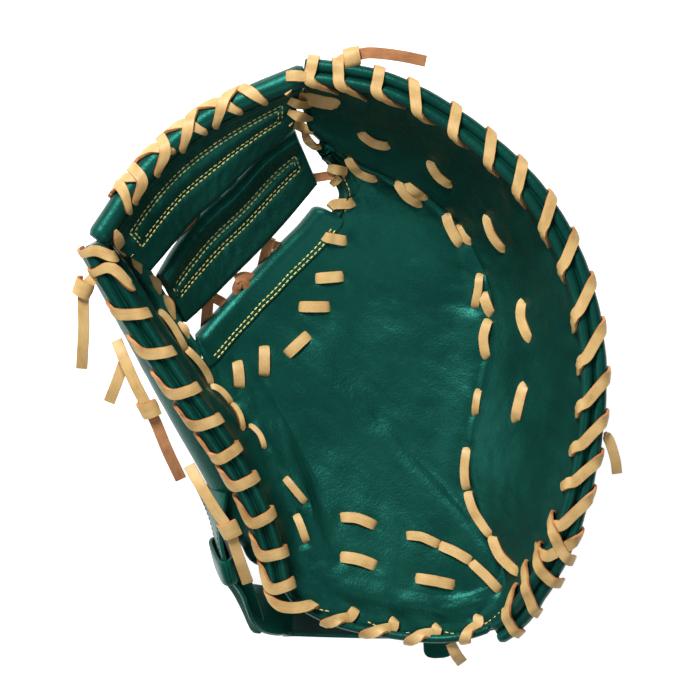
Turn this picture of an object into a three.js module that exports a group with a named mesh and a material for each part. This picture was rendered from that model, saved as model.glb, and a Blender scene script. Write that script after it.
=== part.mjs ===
// First baseman mitt for the left hand. It lies on its back with the pocket up.
// Millimetres. +X points to the little finger side, +Y to the finger tips, +Z up from the floor.

import * as THREE from "three";

// Overall sizes of the leather body.
const WIDTH = 250;
const LENGTH = 275;
const DEPTH = 102;

// Leather and trim.
const RIM_LEATHER = 2.2;
const PALM_THICKNESS = 5;
const BACK_THICKNESS = 2.6;
const WELT_RADIUS = 3;
const HEEL_WELT_RADIUS = 2;
const LACE_WIDTH = 5.4;
const LACE_THICKNESS = 1.6;
const CLEARANCE = 0.3;

// Rolled palm edge below the web, and the piping that runs on up the palm's left edge.
const CROTCH_ROLL_RADIUS = 5.6;
const EDGE_PIPING_RADIUS = 2.2;

// Web.
const WEB_ROLL_RADIUS = 5.6;
const WEB_THICKNESS = 4;
const WEB_HEM = 3;
const WEB_LOWER_ROLL = 9;

// Wrist.
const STRAP_THICKNESS = 2.6;
const LINING_THICKNESS = 1.6;
const TAB_THICKNESS = 2.4;
const KEEPER_THICKNESS = 2;
const BAND_WIDTH = 26;

// Lacing.
const FINGER_LACE_TURNS = 14;
const THUMB_LACE_TURNS = 11;
const WEB_LACE_TURNS = 8;

// Facets.
const RINGS_PER_SECTION = 2;
const WELT_RINGS_PER_SECTION = 4;
const WALL_STEPS = 4;
const PALM_STEPS = 5;
const BACK_STEPS = 9;
const WELT_SIDES = 8;
const ROLL_SIDES = 10;
const STEPS_PER_TURN = 10;
const FACET_ALLOWANCE = 0.5;

// What the sizes above make together.
const WELT_SPACING = 2 * WELT_RADIUS + CLEARANCE;
const LACE_STACK = 2 * CLEARANCE + LACE_THICKNESS + FACET_ALLOWANCE;
const RIM_DROP = WELT_RADIUS + LACE_STACK;
const HEEL_WELT_DROP = RIM_DROP - HEEL_WELT_RADIUS - 2 * CLEARANCE;
const TIE_SEAT = WELT_SPACING / 2 + WELT_RADIUS + LACE_STACK + LACE_WIDTH / 2;

// Middle of the whole box, laces included, as shares of WIDTH and LENGTH in the table below.
const BOX_MIDDLE_X = -0.0015;
const BOX_MIDDLE_Y = 0.0083;

// Cross sections of the body, from the web end of the fingers round the heel to the thumb tip.
// Each row goes from the rim over the fold between wall and palm to the edge at the web.
// x is a share of WIDTH, y of LENGTH and z of DEPTH. foot is how far from rim to fold the back
// meets its lowest line, base is that line's height as a share of DEPTH, bulge is how far the back
// swells past the rim as a share of WIDTH, and open is how far it gives way to the hand opening.
const SECTION_COLUMNS = [
  "rimX", "rimY", "rimZ", "foldX", "foldY", "foldZ", "edgeX", "edgeY", "edgeZ",
  "foot", "base", "bulge", "open",
];
const SECTION_ROWS = [
  [-0.077,  0.487,  0.951, -0.055,  0.381,  0.608, -0.026,  0.349,  0.549, 0.50, 0.431, 0.000, 0.0],
  [-0.009,  0.479,  0.961,  0.004,  0.340,  0.529, -0.021,  0.328,  0.510, 0.55, 0.353, 0.000, 0.0],
  [ 0.073,  0.463,  0.971,  0.075,  0.308,  0.490, -0.008,  0.306,  0.471, 0.60, 0.265, 0.000, 0.0],
  [ 0.160,  0.426,  0.980,  0.148,  0.274,  0.461,  0.002,  0.285,  0.441, 0.65, 0.176, 0.000, 0.0],
  [ 0.261,  0.361,  0.990,  0.205,  0.229,  0.441,  0.000,  0.265,  0.422, 0.70, 0.088, 0.000, 0.0],
  [ 0.357,  0.272,  1.000,  0.250,  0.162,  0.431, -0.013,  0.243,  0.402, 0.72, 0.029, 0.000, 0.0],
  [ 0.430,  0.149,  1.000,  0.276,  0.089,  0.431, -0.032,  0.221,  0.382, 0.74, 0.000, 0.000, 0.0],
  [ 0.464,  0.000,  0.990,  0.265,  0.009,  0.431, -0.056,  0.195,  0.363, 0.75, 0.000, 0.000, 0.0],
  [ 0.455, -0.150,  0.961,  0.242, -0.094,  0.431, -0.085,  0.169,  0.353, 0.75, 0.000, 0.000, 0.0],
  [ 0.415, -0.296,  0.882,  0.229, -0.185,  0.422, -0.113,  0.144,  0.343, 0.72, 0.000, 0.000, 0.0],
  [ 0.359, -0.398,  0.745,  0.258, -0.287,  0.431, -0.141,  0.116,  0.338, 0.70, 0.000, 0.000, 0.1],
  [ 0.301, -0.463,  0.588,  0.291, -0.368,  0.471, -0.164,  0.096,  0.338, 0.60, 0.000, 0.000, 0.5],
  [ 0.207, -0.494,  0.490,  0.220, -0.407,  0.441, -0.182,  0.077,  0.343, 0.50, 0.000, 0.000, 1.0],
  [ 0.073, -0.487,  0.456,  0.094, -0.395,  0.422, -0.201,  0.058,  0.353, 0.50, 0.000, 0.000, 1.0],
  [-0.047, -0.458,  0.461, -0.019, -0.356,  0.412, -0.218,  0.041,  0.363, 0.50, 0.000, 0.000, 1.0],
  [-0.113, -0.415,  0.480, -0.051, -0.304,  0.412, -0.231,  0.027,  0.373, 0.45, 0.000, 0.002, 0.7],
  [-0.137, -0.338,  0.529, -0.075, -0.239,  0.412, -0.242,  0.015,  0.382, 0.40, 0.000, 0.006, 0.2],
  [-0.167, -0.258,  0.608, -0.122, -0.179,  0.412, -0.252,  0.005,  0.402, 0.35, 0.000, 0.008, 0.0],
  [-0.224, -0.162,  0.696, -0.186, -0.125,  0.422, -0.263, -0.002,  0.422, 0.35, 0.020, 0.009, 0.0],
  [-0.295, -0.070,  0.775, -0.250, -0.063,  0.490, -0.276, -0.009,  0.441, 0.35, 0.088, 0.009, 0.0],
  [-0.367,  0.027,  0.843, -0.318,  0.022,  0.569, -0.295,  0.012,  0.480, 0.40, 0.196, 0.009, 0.0],
  [-0.427,  0.115,  0.892, -0.382,  0.115,  0.667, -0.359,  0.104,  0.549, 0.45, 0.353, 0.006, 0.0],
  [-0.472,  0.191,  0.931, -0.438,  0.190,  0.784, -0.410,  0.181,  0.657, 0.50, 0.510, 0.004, 0.0],
];
const SECTIONS = SECTION_ROWS.map((row) => {
  return Object.fromEntries(SECTION_COLUMNS.map((name, i) => [name, row[i]]));
});
const LAST_SECTION = SECTIONS.length - 1;

// Where the parts of the rim begin and end, as section numbers.
const FINGER_RIM = [0, 11.2];
const HEEL_RIM = [11.35, 15.2];
const THUMB_RIM = [15.35, 22];

const UP = new THREE.Vector3(0, 0, 1);

// Materials: one colour for each kind of leather.
const GREEN = { color: 0x0d5a47, roughness: 0.55, metalness: 0 };
const DARK_GREEN = { color: 0x0a4538, roughness: 0.6, metalness: 0 };
const TAN = { color: 0xdcb477, roughness: 0.6, metalness: 0 };
const BLACK = { color: 0x151515, roughness: 0.9, metalness: 0 };

const group = new THREE.Group();
group.name = "first_baseman_mitt";

// Building tools.

// Turns shares of the overall sizes into a point, with the origin in the middle of the whole box.
function place(x, y, z) {
  return new THREE.Vector3((x - BOX_MIDDLE_X) * WIDTH, (y - BOX_MIDDLE_Y) * LENGTH, z * DEPTH);
}

// A point moved by given amounts along given directions.
function moved(point, ...moves) {
  const result = point.clone();
  for (const [direction, amount] of moves) {
    result.addScaledVector(direction, amount);
  }
  return result;
}

// A smooth curve through points, read by a row number that need not be whole.
function curveThrough(points) {
  const curve = new THREE.CatmullRomCurve3(points);
  const last = points.length - 1;
  return (row) => curve.getPoint(THREE.MathUtils.clamp(row / last, 0, 1));
}

// A number column of a table, read between the rows with a soft blend.
function columnOf(rows, name) {
  return (row) => {
    const low = Math.min(Math.floor(row), rows.length - 2);
    const blend = THREE.MathUtils.smoothstep(row - low, 0, 1);
    return THREE.MathUtils.lerp(rows[low][name], rows[low + 1][name], blend);
  };
}

// Evenly spaced numbers from first to last, both included.
function spread(first, last, steps) {
  return Array.from({ length: steps + 1 }, (_, i) => first + ((last - first) * i) / steps);
}

// Six times the volume inside a closed triangle mesh; negative when its faces point inwards.
function signedVolume(positions, triangles) {
  let sum = 0;
  for (const [a, b, c] of triangles) {
    sum += positions[a].dot(new THREE.Vector3().crossVectors(positions[b], positions[c]));
  }
  return sum;
}

// Adds one closed solid to the mitt, faces outwards.
function addSolid(name, positions, triangles, look) {
  const inward = signedVolume(positions, triangles) < 0;
  const faces = inward ? triangles.map(([a, b, c]) => [a, c, b]) : triangles;
  const geometry = new THREE.BufferGeometry().setFromPoints(positions);
  geometry.setIndex(faces.flat());
  geometry.computeVertexNormals();
  const mesh = new THREE.Mesh(geometry, new THREE.MeshStandardMaterial(look));
  mesh.name = name;
  group.add(mesh);
}

// Skins a row of closed rings with equal numbers of points and closes both ends.
// A folded ring runs out along one face and back along the other, and its ends close as strips.
// Any other ring closes as a fan round its middle.
function addLoft(name, rings, look, folded = false) {
  const size = rings[0].length;
  const positions = rings.flat();
  const triangles = [];
  for (let r = 0; r < rings.length - 1; r += 1) {
    for (let k = 0; k < size; k += 1) {
      const a = r * size + k;
      const b = r * size + ((k + 1) % size);
      triangles.push([a, b, b + size], [a, b + size, a + size]);
    }
  }
  for (const [start, turn] of [[0, false], [(rings.length - 1) * size, true]]) {
    const lid = [];
    if (folded) {
      for (let k = 0; k < size / 2 - 1; k += 1) {
        const far = size - 1 - k;
        lid.push([start + k, start + far, start + k + 1]);
        lid.push([start + k + 1, start + far, start + far - 1]);
      }
    } else {
      const middle = positions.length;
      const ring = positions.slice(start, start + size);
      positions.push(ring.reduce((sum, p) => sum.add(p), new THREE.Vector3()).divideScalar(size));
      for (let k = 0; k < size; k += 1) {
        lid.push([middle, start + ((k + 1) % size), start + k]);
      }
    }
    triangles.push(...(turn ? lid.map(([a, b, c]) => [a, c, b]) : lid));
  }
  addSolid(name, positions, triangles, look);
}

// Unit normals of a grid of points, on the side of row direction cross column direction.
function gridNormals(grid) {
  const last = grid.length - 1;
  return grid.map((row, r) => row.map((point, c) => {
    const end = row.length - 1;
    const down = new THREE.Vector3().subVectors(grid[Math.min(r + 1, last)][c], grid[Math.max(r - 1, 0)][c]);
    const across = new THREE.Vector3().subVectors(row[Math.min(c + 1, end)], row[Math.max(c - 1, 0)]);
    return down.cross(across).normalize();
  }));
}

// A leather shell: a grid of points on one face, and the other face a thickness away on the side
// given by way, 1 or -1. Each column of the grid has its own thickness.
function addShell(name, grid, thicknesses, way, look) {
  const normals = gridNormals(grid);
  const rings = grid.map((row, r) => {
    const inner = row.map((point, c) => moved(point, [normals[r][c], way * thicknesses[c]]));
    return [...row, ...inner.reverse()];
  });
  addLoft(name, rings, look, true);
}

// A round roll of leather along a row of points, its radius given at each point.
function addRoll(name, points, radii, sides, look) {
  const rings = points.map((point, i) => {
    const before = points[Math.max(i - 1, 0)];
    const after = points[Math.min(i + 1, points.length - 1)];
    const along = new THREE.Vector3().subVectors(after, before).normalize();
    const side = new THREE.Vector3().crossVectors(along, UP).normalize();
    const top = new THREE.Vector3().crossVectors(side, along);
    return spread(0, 2 * Math.PI, sides).slice(0, -1).map((angle) => {
      return moved(point, [side, radii[i] * Math.cos(angle)], [top, radii[i] * Math.sin(angle)]);
    });
  });
  addLoft(name, rings, look);
}

// A flat strap or lace. Each stop has a point, its face direction, a width and a thickness, and
// may give the way along it; otherwise that is taken from its neighbours.
function addStrap(name, stops, look) {
  const rings = stops.map((stop, i) => {
    const before = stops[Math.max(i - 1, 0)].point;
    const after = stops[Math.min(i + 1, stops.length - 1)].point;
    const along = stop.along ?? new THREE.Vector3().subVectors(after, before).normalize();
    const side = new THREE.Vector3().crossVectors(along, stop.face).normalize();
    const face = new THREE.Vector3().crossVectors(side, along);
    const corners = [[-1, -1], [1, -1], [1, 1], [-1, 1]];
    return corners.map(([s, f]) => {
      return moved(stop.point, [side, (s * stop.width) / 2], [face, (f * stop.thickness) / 2]);
    });
  });
  addLoft(name, rings, look);
}

// Body: the lines that the rest of the mitt follows.

const rimPoint = curveThrough(SECTIONS.map((s) => place(s.rimX, s.rimY, s.rimZ)));
const foldPoint = curveThrough(SECTIONS.map((s) => place(s.foldX, s.foldY, s.foldZ)));
const edgePoint = curveThrough(SECTIONS.map((s) => place(s.edgeX, s.edgeY, s.edgeZ)));
const foot = columnOf(SECTIONS, "foot");
const base = columnOf(SECTIONS, "base");
const bulge = columnOf(SECTIONS, "bulge");
const open = columnOf(SECTIONS, "open");

// The rim at a section: its point, the way along it, the level way out from the pocket, and the
// way to its top, square to both.
function rimAt(row) {
  const step = 0.1;
  const along = new THREE.Vector3().subVectors(rimPoint(row + step), rimPoint(row - step)).normalize();
  const out = new THREE.Vector3().crossVectors(UP, along).normalize();
  const top = new THREE.Vector3().crossVectors(along, out);
  return { point: rimPoint(row), along, out, top };
}

// The edge at a section, with the level way out from the palm towards the web.
function edgeAt(row) {
  const step = 0.25;
  const along = new THREE.Vector3().subVectors(edgePoint(row + step), edgePoint(row - step)).normalize();
  const out = new THREE.Vector3().crossVectors(along, UP).normalize();
  return { point: edgePoint(row), along, out };
}

// The leather thickens from the bare rim to its full thickness by this share of its line.
const PADDING_START = 0.35;

function thicknessAt(share, full) {
  return THREE.MathUtils.lerp(RIM_LEATHER, full, Math.min(share / PADDING_START, 1));
}

// Pocket face of the palm leather: how deep wall and palm dish, as shares of DEPTH.
const WALL_DISH = 0.05;
const PALM_DISH = 0.035;

function palmLine(row) {
  const rim = rimAt(row);
  const top = moved(rim.point, [rim.out, -WELT_SPACING / 2], [rim.top, -RIM_DROP]);
  const fold = foldPoint(row);
  const edge = edgePoint(row);
  const wall = moved(top.clone().lerp(fold, 0.5), [UP, -WALL_DISH * DEPTH * (1 - open(row))]);
  const palm = moved(fold.clone().lerp(edge, 0.5), [UP, -PALM_DISH * DEPTH]);
  return new THREE.CatmullRomCurve3([top, wall, fold, palm, edge]);
}

function palmPoint(row, share) {
  return palmLine(row).getPoint(THREE.MathUtils.clamp(share, 0, 1));
}

const bodyRows = spread(0, LAST_SECTION, LAST_SECTION * RINGS_PER_SECTION);
const palmShares = [...spread(0, 0.5, WALL_STEPS), ...spread(0.5, 1, PALM_STEPS).slice(1)];
const palmGrid = bodyRows.map((row) => palmShares.map((share) => palmPoint(row, share)));
const palmThicknesses = palmShares.map((share) => thicknessAt(share, PALM_THICKNESS));
addShell("palm_shell", palmGrid, palmThicknesses, 1, GREEN);

// Outer face of the back leather. It hangs from the rim's outer roll, swells, and lies flat on the
// floor under the palm. Round the heel it draws back from the rim and leaves the hand opening.
const MOUTH_START = 0.12;

function backLine(row) {
  const rim = rimAt(row);
  const edge = edgeAt(row);
  const floorHeight = base(row) * DEPTH;
  const stack = PALM_THICKNESS + BACK_THICKNESS + 5 * CLEARANCE;
  const hem = moved(edge.point, [UP, -stack]);
  const onFloor = (point) => point.clone().setZ(floorHeight);
  const toFloor = (share) => THREE.MathUtils.lerp(rim.point.z, floorHeight, share);
  const footPoint = onFloor(rim.point.clone().lerp(foldPoint(row), foot(row)));
  const closed = [
    moved(rim.point, [rim.out, WELT_SPACING / 2], [rim.top, -RIM_DROP]),
    moved(rim.point, [rim.out, WELT_SPACING / 2 + bulge(row) * WIDTH]).setZ(toFloor(0.4)),
    rim.point.clone().lerp(footPoint, 0.45).setZ(toFloor(0.82)),
    footPoint,
    onFloor(footPoint.clone().lerp(hem, 0.5)),
    onFloor(footPoint.clone().lerp(hem, 0.86)),
    hem,
  ];
  const mouth = footPoint.clone().lerp(onFloor(hem), MOUTH_START);
  const opened = closed.map((point, i) => {
    return i === closed.length - 1 ? hem : onFloor(mouth.clone().lerp(hem, i / closed.length));
  });
  return new THREE.CatmullRomCurve3(closed.map((point, i) => point.lerp(opened[i], open(row))));
}

const backShares = spread(0, 1, BACK_STEPS);
const backGrid = bodyRows.map((row) => {
  const line = backLine(row);
  const points = backShares.map((share) => line.getPoint(share));
  points.forEach((point) => point.setZ(Math.max(point.z, 0)));
  return points;
});
const backThicknesses = backShares.map((share) => thicknessAt(share, BACK_THICKNESS));
addShell("back_shell", backGrid, backThicknesses, -1, DARK_GREEN);

// Rim rolls.

function addRimRoll(name, [first, last], offset, drop, radius) {
  const rows = spread(first, last, Math.round((last - first) * WELT_RINGS_PER_SECTION));
  const points = rows.map((row) => {
    const rim = rimAt(row);
    return moved(rim.point, [rim.out, offset], [rim.top, -drop]);
  });
  addRoll(name, points, rows.map(() => radius), WELT_SIDES, GREEN);
}

addRimRoll("finger_welt_inner", FINGER_RIM, -WELT_SPACING / 2, 0, WELT_RADIUS);
addRimRoll("finger_welt_outer", FINGER_RIM, WELT_SPACING / 2, 0, WELT_RADIUS);
addRimRoll("heel_welt", HEEL_RIM, -WELT_SPACING / 2, HEEL_WELT_DROP, HEEL_WELT_RADIUS);
addRimRoll("thumb_welt_inner", THUMB_RIM, -WELT_SPACING / 2, 0, WELT_RADIUS);
addRimRoll("thumb_welt_outer", THUMB_RIM, WELT_SPACING / 2, 0, WELT_RADIUS);

// Padded roll of the palm edge. It starts as thin piping up the palm's left edge and swells to its
// full radius where the palm turns towards the thumb.
const ROLL_ROWS = { start: 1.3, swellFrom: 4, swellTo: 6.5, end: 17.6 };

function crotchRollRadius(row) {
  const swell = THREE.MathUtils.smoothstep(row, ROLL_ROWS.swellFrom, ROLL_ROWS.swellTo);
  return THREE.MathUtils.lerp(EDGE_PIPING_RADIUS, CROTCH_ROLL_RADIUS, swell);
}

const rollRows = spread(ROLL_ROWS.start, ROLL_ROWS.end, 2 * (LAST_SECTION - 5));
const rollPoints = rollRows.map((row) => {
  const edge = edgeAt(row);
  const reach = crotchRollRadius(row) + 3 * CLEARANCE;
  return moved(edge.point, [edge.out, reach], [UP, -PALM_THICKNESS / 2]);
});
addRoll("crotch_roll", rollPoints, rollRows.map(crotchRollRadius), ROLL_SIDES, GREEN);

// Whip lace: one long lace round a roll or a pair of rolls. lineAt gives the line that it follows,
// halfWidth how far the rolls' middles lie from that line, and hand the way that it winds, 1 or -1.

function addWhipLace(name, lineAt, [first, last], turns, hand, halfWidth, radius) {
  const reach = radius + CLEARANCE + FACET_ALLOWANCE + LACE_THICKNESS / 2;
  const stops = spread(0, turns, turns * STEPS_PER_TURN).map((turn) => {
    const line = lineAt(THREE.MathUtils.lerp(first, last, turn / turns));
    const angle = hand * 2 * Math.PI * turn;
    const level = Math.cos(angle);
    const rise = Math.sin(angle);
    const shift = Math.abs(level) < 0.01 ? 0 : Math.sign(level) * halfWidth;
    const point = moved(line.point, [line.out, shift + level * reach], [line.top, rise * reach]);
    const face = new THREE.Vector3().addScaledVector(line.out, level).addScaledVector(line.top, rise);
    return { point, face, width: LACE_WIDTH, thickness: LACE_THICKNESS };
  });
  addStrap(name, stops, TAN);
}

const FINGER_LACE = [0.3, 11];
const THUMB_LACE = [15.6, 21.8];
addWhipLace("finger_lace", rimAt, FINGER_LACE, FINGER_LACE_TURNS, 1, WELT_SPACING / 2, WELT_RADIUS);
addWhipLace("thumb_lace", rimAt, THUMB_LACE, THUMB_LACE_TURNS, -1, WELT_SPACING / 2, WELT_RADIUS);

// Web: a wrapped top roll and two stitched bars between the fingers and the thumb.
// Each row goes down the web: middle of the top roll, low edge of the top bar, high edge of the
// lower bar, and its hem. x, y and z are shares as above, from the finger side to the thumb side.
const WEB_COLUMNS = ["roll", "low", "high", "hem"];
const WEB_ROWS = [
  [-0.092,  0.474,  0.931, -0.098,  0.393,  0.755, -0.094,  0.386,  0.637, -0.053,  0.299,  0.451],
  [-0.175,  0.443,  0.912, -0.175,  0.335,  0.716, -0.148,  0.349,  0.598, -0.109,  0.238,  0.422],
  [-0.256,  0.407,  0.892, -0.237,  0.280,  0.696, -0.212,  0.284,  0.569, -0.165,  0.183,  0.402],
  [-0.333,  0.354,  0.892, -0.288,  0.239,  0.696, -0.269,  0.236,  0.559, -0.220,  0.133,  0.402],
  [-0.391,  0.297,  0.902, -0.325,  0.200,  0.706, -0.314,  0.186,  0.578, -0.265,  0.092,  0.422],
  [-0.445,  0.225,  0.922, -0.370,  0.152,  0.735, -0.348,  0.138,  0.608, -0.303,  0.060,  0.471],
];
const LAST_WEB_ROW = WEB_ROWS.length - 1;
const webLine = Object.fromEntries(WEB_COLUMNS.map((name, i) => {
  return [name, curveThrough(WEB_ROWS.map((row) => place(...row.slice(3 * i, 3 * i + 3))))];
}));

function webRollAt(row) {
  const step = 0.1;
  const along = new THREE.Vector3().subVectors(webLine.roll(row + step), webLine.roll(row - step));
  const out = new THREE.Vector3().crossVectors(along, UP).normalize();
  const top = new THREE.Vector3().crossVectors(out, along).normalize();
  return { point: webLine.roll(row), out, top };
}

const webRows = spread(0, LAST_WEB_ROW, 2 * LAST_WEB_ROW);
const webRollRows = spread(0, LAST_WEB_ROW, 4 * LAST_WEB_ROW);
const webRollRadii = webRollRows.map(() => WEB_ROLL_RADIUS);
addRoll("web_top_roll", webRollRows.map(webLine.roll), webRollRadii, ROLL_SIDES, GREEN);
addWhipLace("web_roll_lace", webRollAt, [0.15, LAST_WEB_ROW - 0.15], WEB_LACE_TURNS, 1, 0, WEB_ROLL_RADIUS);

// High and low edge of each bar. The top bar hangs just clear of the lace under the roll.
const webBars = {
  web_top_bar(row) {
    const roll = webLine.roll(row);
    const low = webLine.low(row);
    const down = new THREE.Vector3().subVectors(low, roll).normalize();
    return [moved(roll, [down, WEB_ROLL_RADIUS + LACE_STACK + 2 * CLEARANCE]), low];
  },
  web_lower_bar(row) {
    return [webLine.high(row), webLine.hem(row)];
  },
};

// A point on a bar's upper face, at a share of its height from the high edge, and that face's way.
function barFace(bar, row, share) {
  const [high, low] = webBars[bar](row);
  const step = 0.2;
  const along = new THREE.Vector3().subVectors(webBars[bar](row + step)[0], webBars[bar](row - step)[0]);
  const down = new THREE.Vector3().subVectors(low, high);
  const face = new THREE.Vector3().crossVectors(down, along).normalize();
  return { middle: high.clone().lerp(low, share), face: face.multiplyScalar(Math.sign(face.z)) };
}

// Cross section of each bar: shares of its height with the thickness there.
const TOP_BAR_PROFILE = [
  [0, WEB_HEM], [0.08, WEB_THICKNESS], [0.5, WEB_THICKNESS], [0.93, WEB_THICKNESS], [1, WEB_HEM],
];
const LOWER_BAR_PROFILE = [
  [0, WEB_THICKNESS], [0.05, WEB_LOWER_ROLL], [0.16, WEB_LOWER_ROLL],
  [0.27, WEB_THICKNESS], [0.93, WEB_THICKNESS], [1, WEB_HEM],
];

function addWebBar(bar, profile) {
  const rings = webRows.map((row) => {
    const upper = profile.map(([share, thickness]) => {
      const { middle, face } = barFace(bar, row, share);
      return moved(middle, [face, thickness / 2]);
    });
    const under = profile.map(([share, thickness]) => {
      const { middle, face } = barFace(bar, row, share);
      return moved(middle, [face, -thickness / 2]);
    });
    return [...upper, ...under.reverse()];
  });
  addLoft(bar, rings, GREEN, true);
}

addWebBar("web_top_bar", TOP_BAR_PROFILE);
addWebBar("web_lower_bar", LOWER_BAR_PROFILE);

// A point on the pocket face of the palm leather, and the way that the face looks.
function palmFace(row, share) {
  const step = 0.05;
  const along = new THREE.Vector3().subVectors(palmPoint(row + step, share), palmPoint(row - step, share));
  const across = new THREE.Vector3().subVectors(palmPoint(row, share + step), palmPoint(row, share - step));
  const face = new THREE.Vector3().crossVectors(along, across).normalize();
  return { point: palmPoint(row, share), face: face.multiplyScalar(Math.sign(face.z)) };
}

// Laces that carry the bars. Columns: name, bar, its end, the row where the lace starts and the
// share of the bar's height, then section and share on the palm leather.
const WEB_TIES = [
  ["web_tie_finger_1", "web_top_bar", 0, 0.25, 0.1, 0.6, 0.16],
  ["web_tie_finger_2", "web_top_bar", 0, 0.2, 0.5, 0.24, 0.27],
  ["web_tie_finger_3", "web_top_bar", 0, 0.2, 0.9, 0.24, 0.4],
  ["web_tie_finger_4", "web_lower_bar", 0, 0.3, 0.35, 0.4, 0.5],
  ["web_tie_finger_5", "web_lower_bar", 0, 0.3, 0.85, 2.1, 0.93],
  ["web_tie_thumb_1", "web_top_bar", LAST_WEB_ROW, 4.75, 0.3, 21.7, 0.7],
  ["web_tie_thumb_2", "web_top_bar", LAST_WEB_ROW, 4.7, 0.8, 21.3, 0.85],
  ["web_tie_thumb_3", "web_lower_bar", LAST_WEB_ROW, 4.7, 0.4, 20.8, 0.85],
  ["web_tie_thumb_4", "web_lower_bar", LAST_WEB_ROW, 4.7, 0.85, 20.3, 0.75],
];
const TIE_LIFT = CLEARANCE + FACET_ALLOWANCE + LACE_THICKNESS / 2;

for (const [name, bar, barEnd, barRow, barShare, section, palmShare] of WEB_TIES) {
  const start = barFace(bar, barRow, barShare);
  const bend = barFace(bar, barEnd, barShare);
  const end = palmFace(section, palmShare);
  const lift = WEB_THICKNESS / 2 + TIE_LIFT;
  const away = new THREE.Vector3().subVectors(bend.middle, start.middle).normalize();
  const stops = [
    [moved(start.middle, [start.face, lift]), start.face],
    [moved(bend.middle, [bend.face, lift], [away, 2 * LACE_THICKNESS]), bend.face],
    [moved(end.point, [end.face, TIE_LIFT + LACE_THICKNESS / 2]), end.face],
  ].map(([point, face]) => ({ point, face, width: LACE_WIDTH, thickness: LACE_THICKNESS }));
  addStrap(name, stops, TAN);
}

// Heel lacing: single stitches from a hole in the palm over the piping. Each row is the section
// where a stitch crosses the piping. On the palm it leans back along the heel: its two stops there
// give how far back they lie, in sections, and their share of the palm's line.
const HEEL_STITCH_ROWS = [11.8, 12.65, 13.35, 14.05];
const HEEL_STITCH_INNER = [[0.3, 0.2], [0.08, 0.11]];

HEEL_STITCH_ROWS.forEach((row, i) => {
  const rim = rimAt(row);
  const welt = moved(rim.point, [rim.out, -WELT_SPACING / 2], [rim.top, -HEEL_WELT_DROP]);
  const reach = HEEL_WELT_RADIUS + TIE_LIFT;
  const onPalm = HEEL_STITCH_INNER.map(([lean, share], k) => {
    const { point, face } = palmFace(row - lean, share);
    return { point: moved(point, [face, TIE_LIFT + k * HEEL_WELT_RADIUS]), face };
  });
  const overWelt = [[-0.8, 1.1], [0, 1.25], [0.5, 1.05], [1.1, 0.3], [1.1, -0.8]].map(([out, up]) => {
    const face = new THREE.Vector3().addScaledVector(rim.out, out).addScaledVector(rim.top, up);
    return { point: moved(welt, [rim.out, out * reach], [rim.top, up * reach]), face };
  });
  const stops = [...onPalm, ...overWelt].map(({ point, face }) => {
    return { point, face, width: LACE_WIDTH, thickness: LACE_THICKNESS };
  });
  addStrap(`heel_lace_${i + 1}`, stops, TAN);
});

// Knots and free tails. Each stop has its section on the rim, how far it lies out from the seat and
// up from the rim in lace widths, and its width and thickness as multiples of the lace's.
const TIES = {
  tie_finger_top: [
    [1.02, 0.05, 0.1, 1.0, 1.0],
    [1.1, 0.3, 0.2, 1.7, 3.0],
    [1.25, 0.6, 0.2, 2.0, 4.0],
    [1.42, 0.6, 0.2, 1.7, 3.0],
    [1.55, 0.5, 0.1, 1.0, 1.0],
    [2.2, 1.2, -0.1, 1.0, 1.0],
    [2.75, 1.5, -0.3, 0.9, 1.0],
  ],
  tie_thumb_top: [
    [21.6, -0.4, -0.4, 1.0, 1.0],
    [21.5, 0.2, -0.2, 1.7, 3.0],
    [21.38, 0.7, -0.2, 2.0, 4.0],
    [21.25, 1.1, -0.3, 1.7, 3.0],
    [21.15, 1.5, -0.4, 1.0, 1.0],
    [20.85, 2.9, -0.9, 1.0, 1.0],
    [20.5, 4.2, -1.8, 0.9, 1.0],
  ],
  tie_thumb_middle: [
    [20.3, 0.05, -0.4, 1.0, 1.0],
    [19.8, 0.35, -0.7, 1.0, 1.0],
    [19.6, 0.9, -0.7, 1.7, 3.0],
    [19.42, 1.1, -0.7, 2.0, 4.0],
    [19.22, 1.2, -0.8, 1.7, 3.0],
    [19.05, 1.3, -1.1, 1.0, 1.0],
    [18.35, 2.4, -2.6, 0.9, 1.0],
  ],
  tie_thumb_low: [
    [18.35, 0.05, -0.3, 1.0, 1.0],
    [17.7, 0.3, -0.3, 1.0, 1.0],
    [17.3, 0.8, -0.2, 1.7, 3.0],
    [17.05, 0.9, -0.2, 2.0, 4.0],
    [16.8, 0.9, -0.2, 1.7, 3.0],
    [16.6, 0.8, -0.4, 1.0, 1.0],
    [16.0, 0.6, -1.0, 0.9, 1.0],
  ],
  tie_finger_side: [
    [7.86, 0.05, -0.1, 1.0, 1.0],
    [8.0, 0.45, -0.3, 1.3, 2.0],
    [8.2, 0.8, -0.7, 0.9, 1.0],
  ],
  tie_heel: [
    [12.1, -2.35, -1.0, 1.0, 1.0],
    [12.05, -1.3, -1.6, 1.0, 1.0],
    [12.0, -0.5, -2.8, 0.9, 1.0],
  ],
};

for (const [name, rows] of Object.entries(TIES)) {
  const stops = rows.map(([section, out, up, width, thickness]) => {
    const rim = rimAt(section);
    const point = moved(rim.point, [rim.out, TIE_SEAT + out * LACE_WIDTH], [rim.top, up * LACE_WIDTH]);
    return { point, face: UP, width: width * LACE_WIDTH, thickness: thickness * LACE_THICKNESS };
  });
  addStrap(name, stops, TAN);
}

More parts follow.
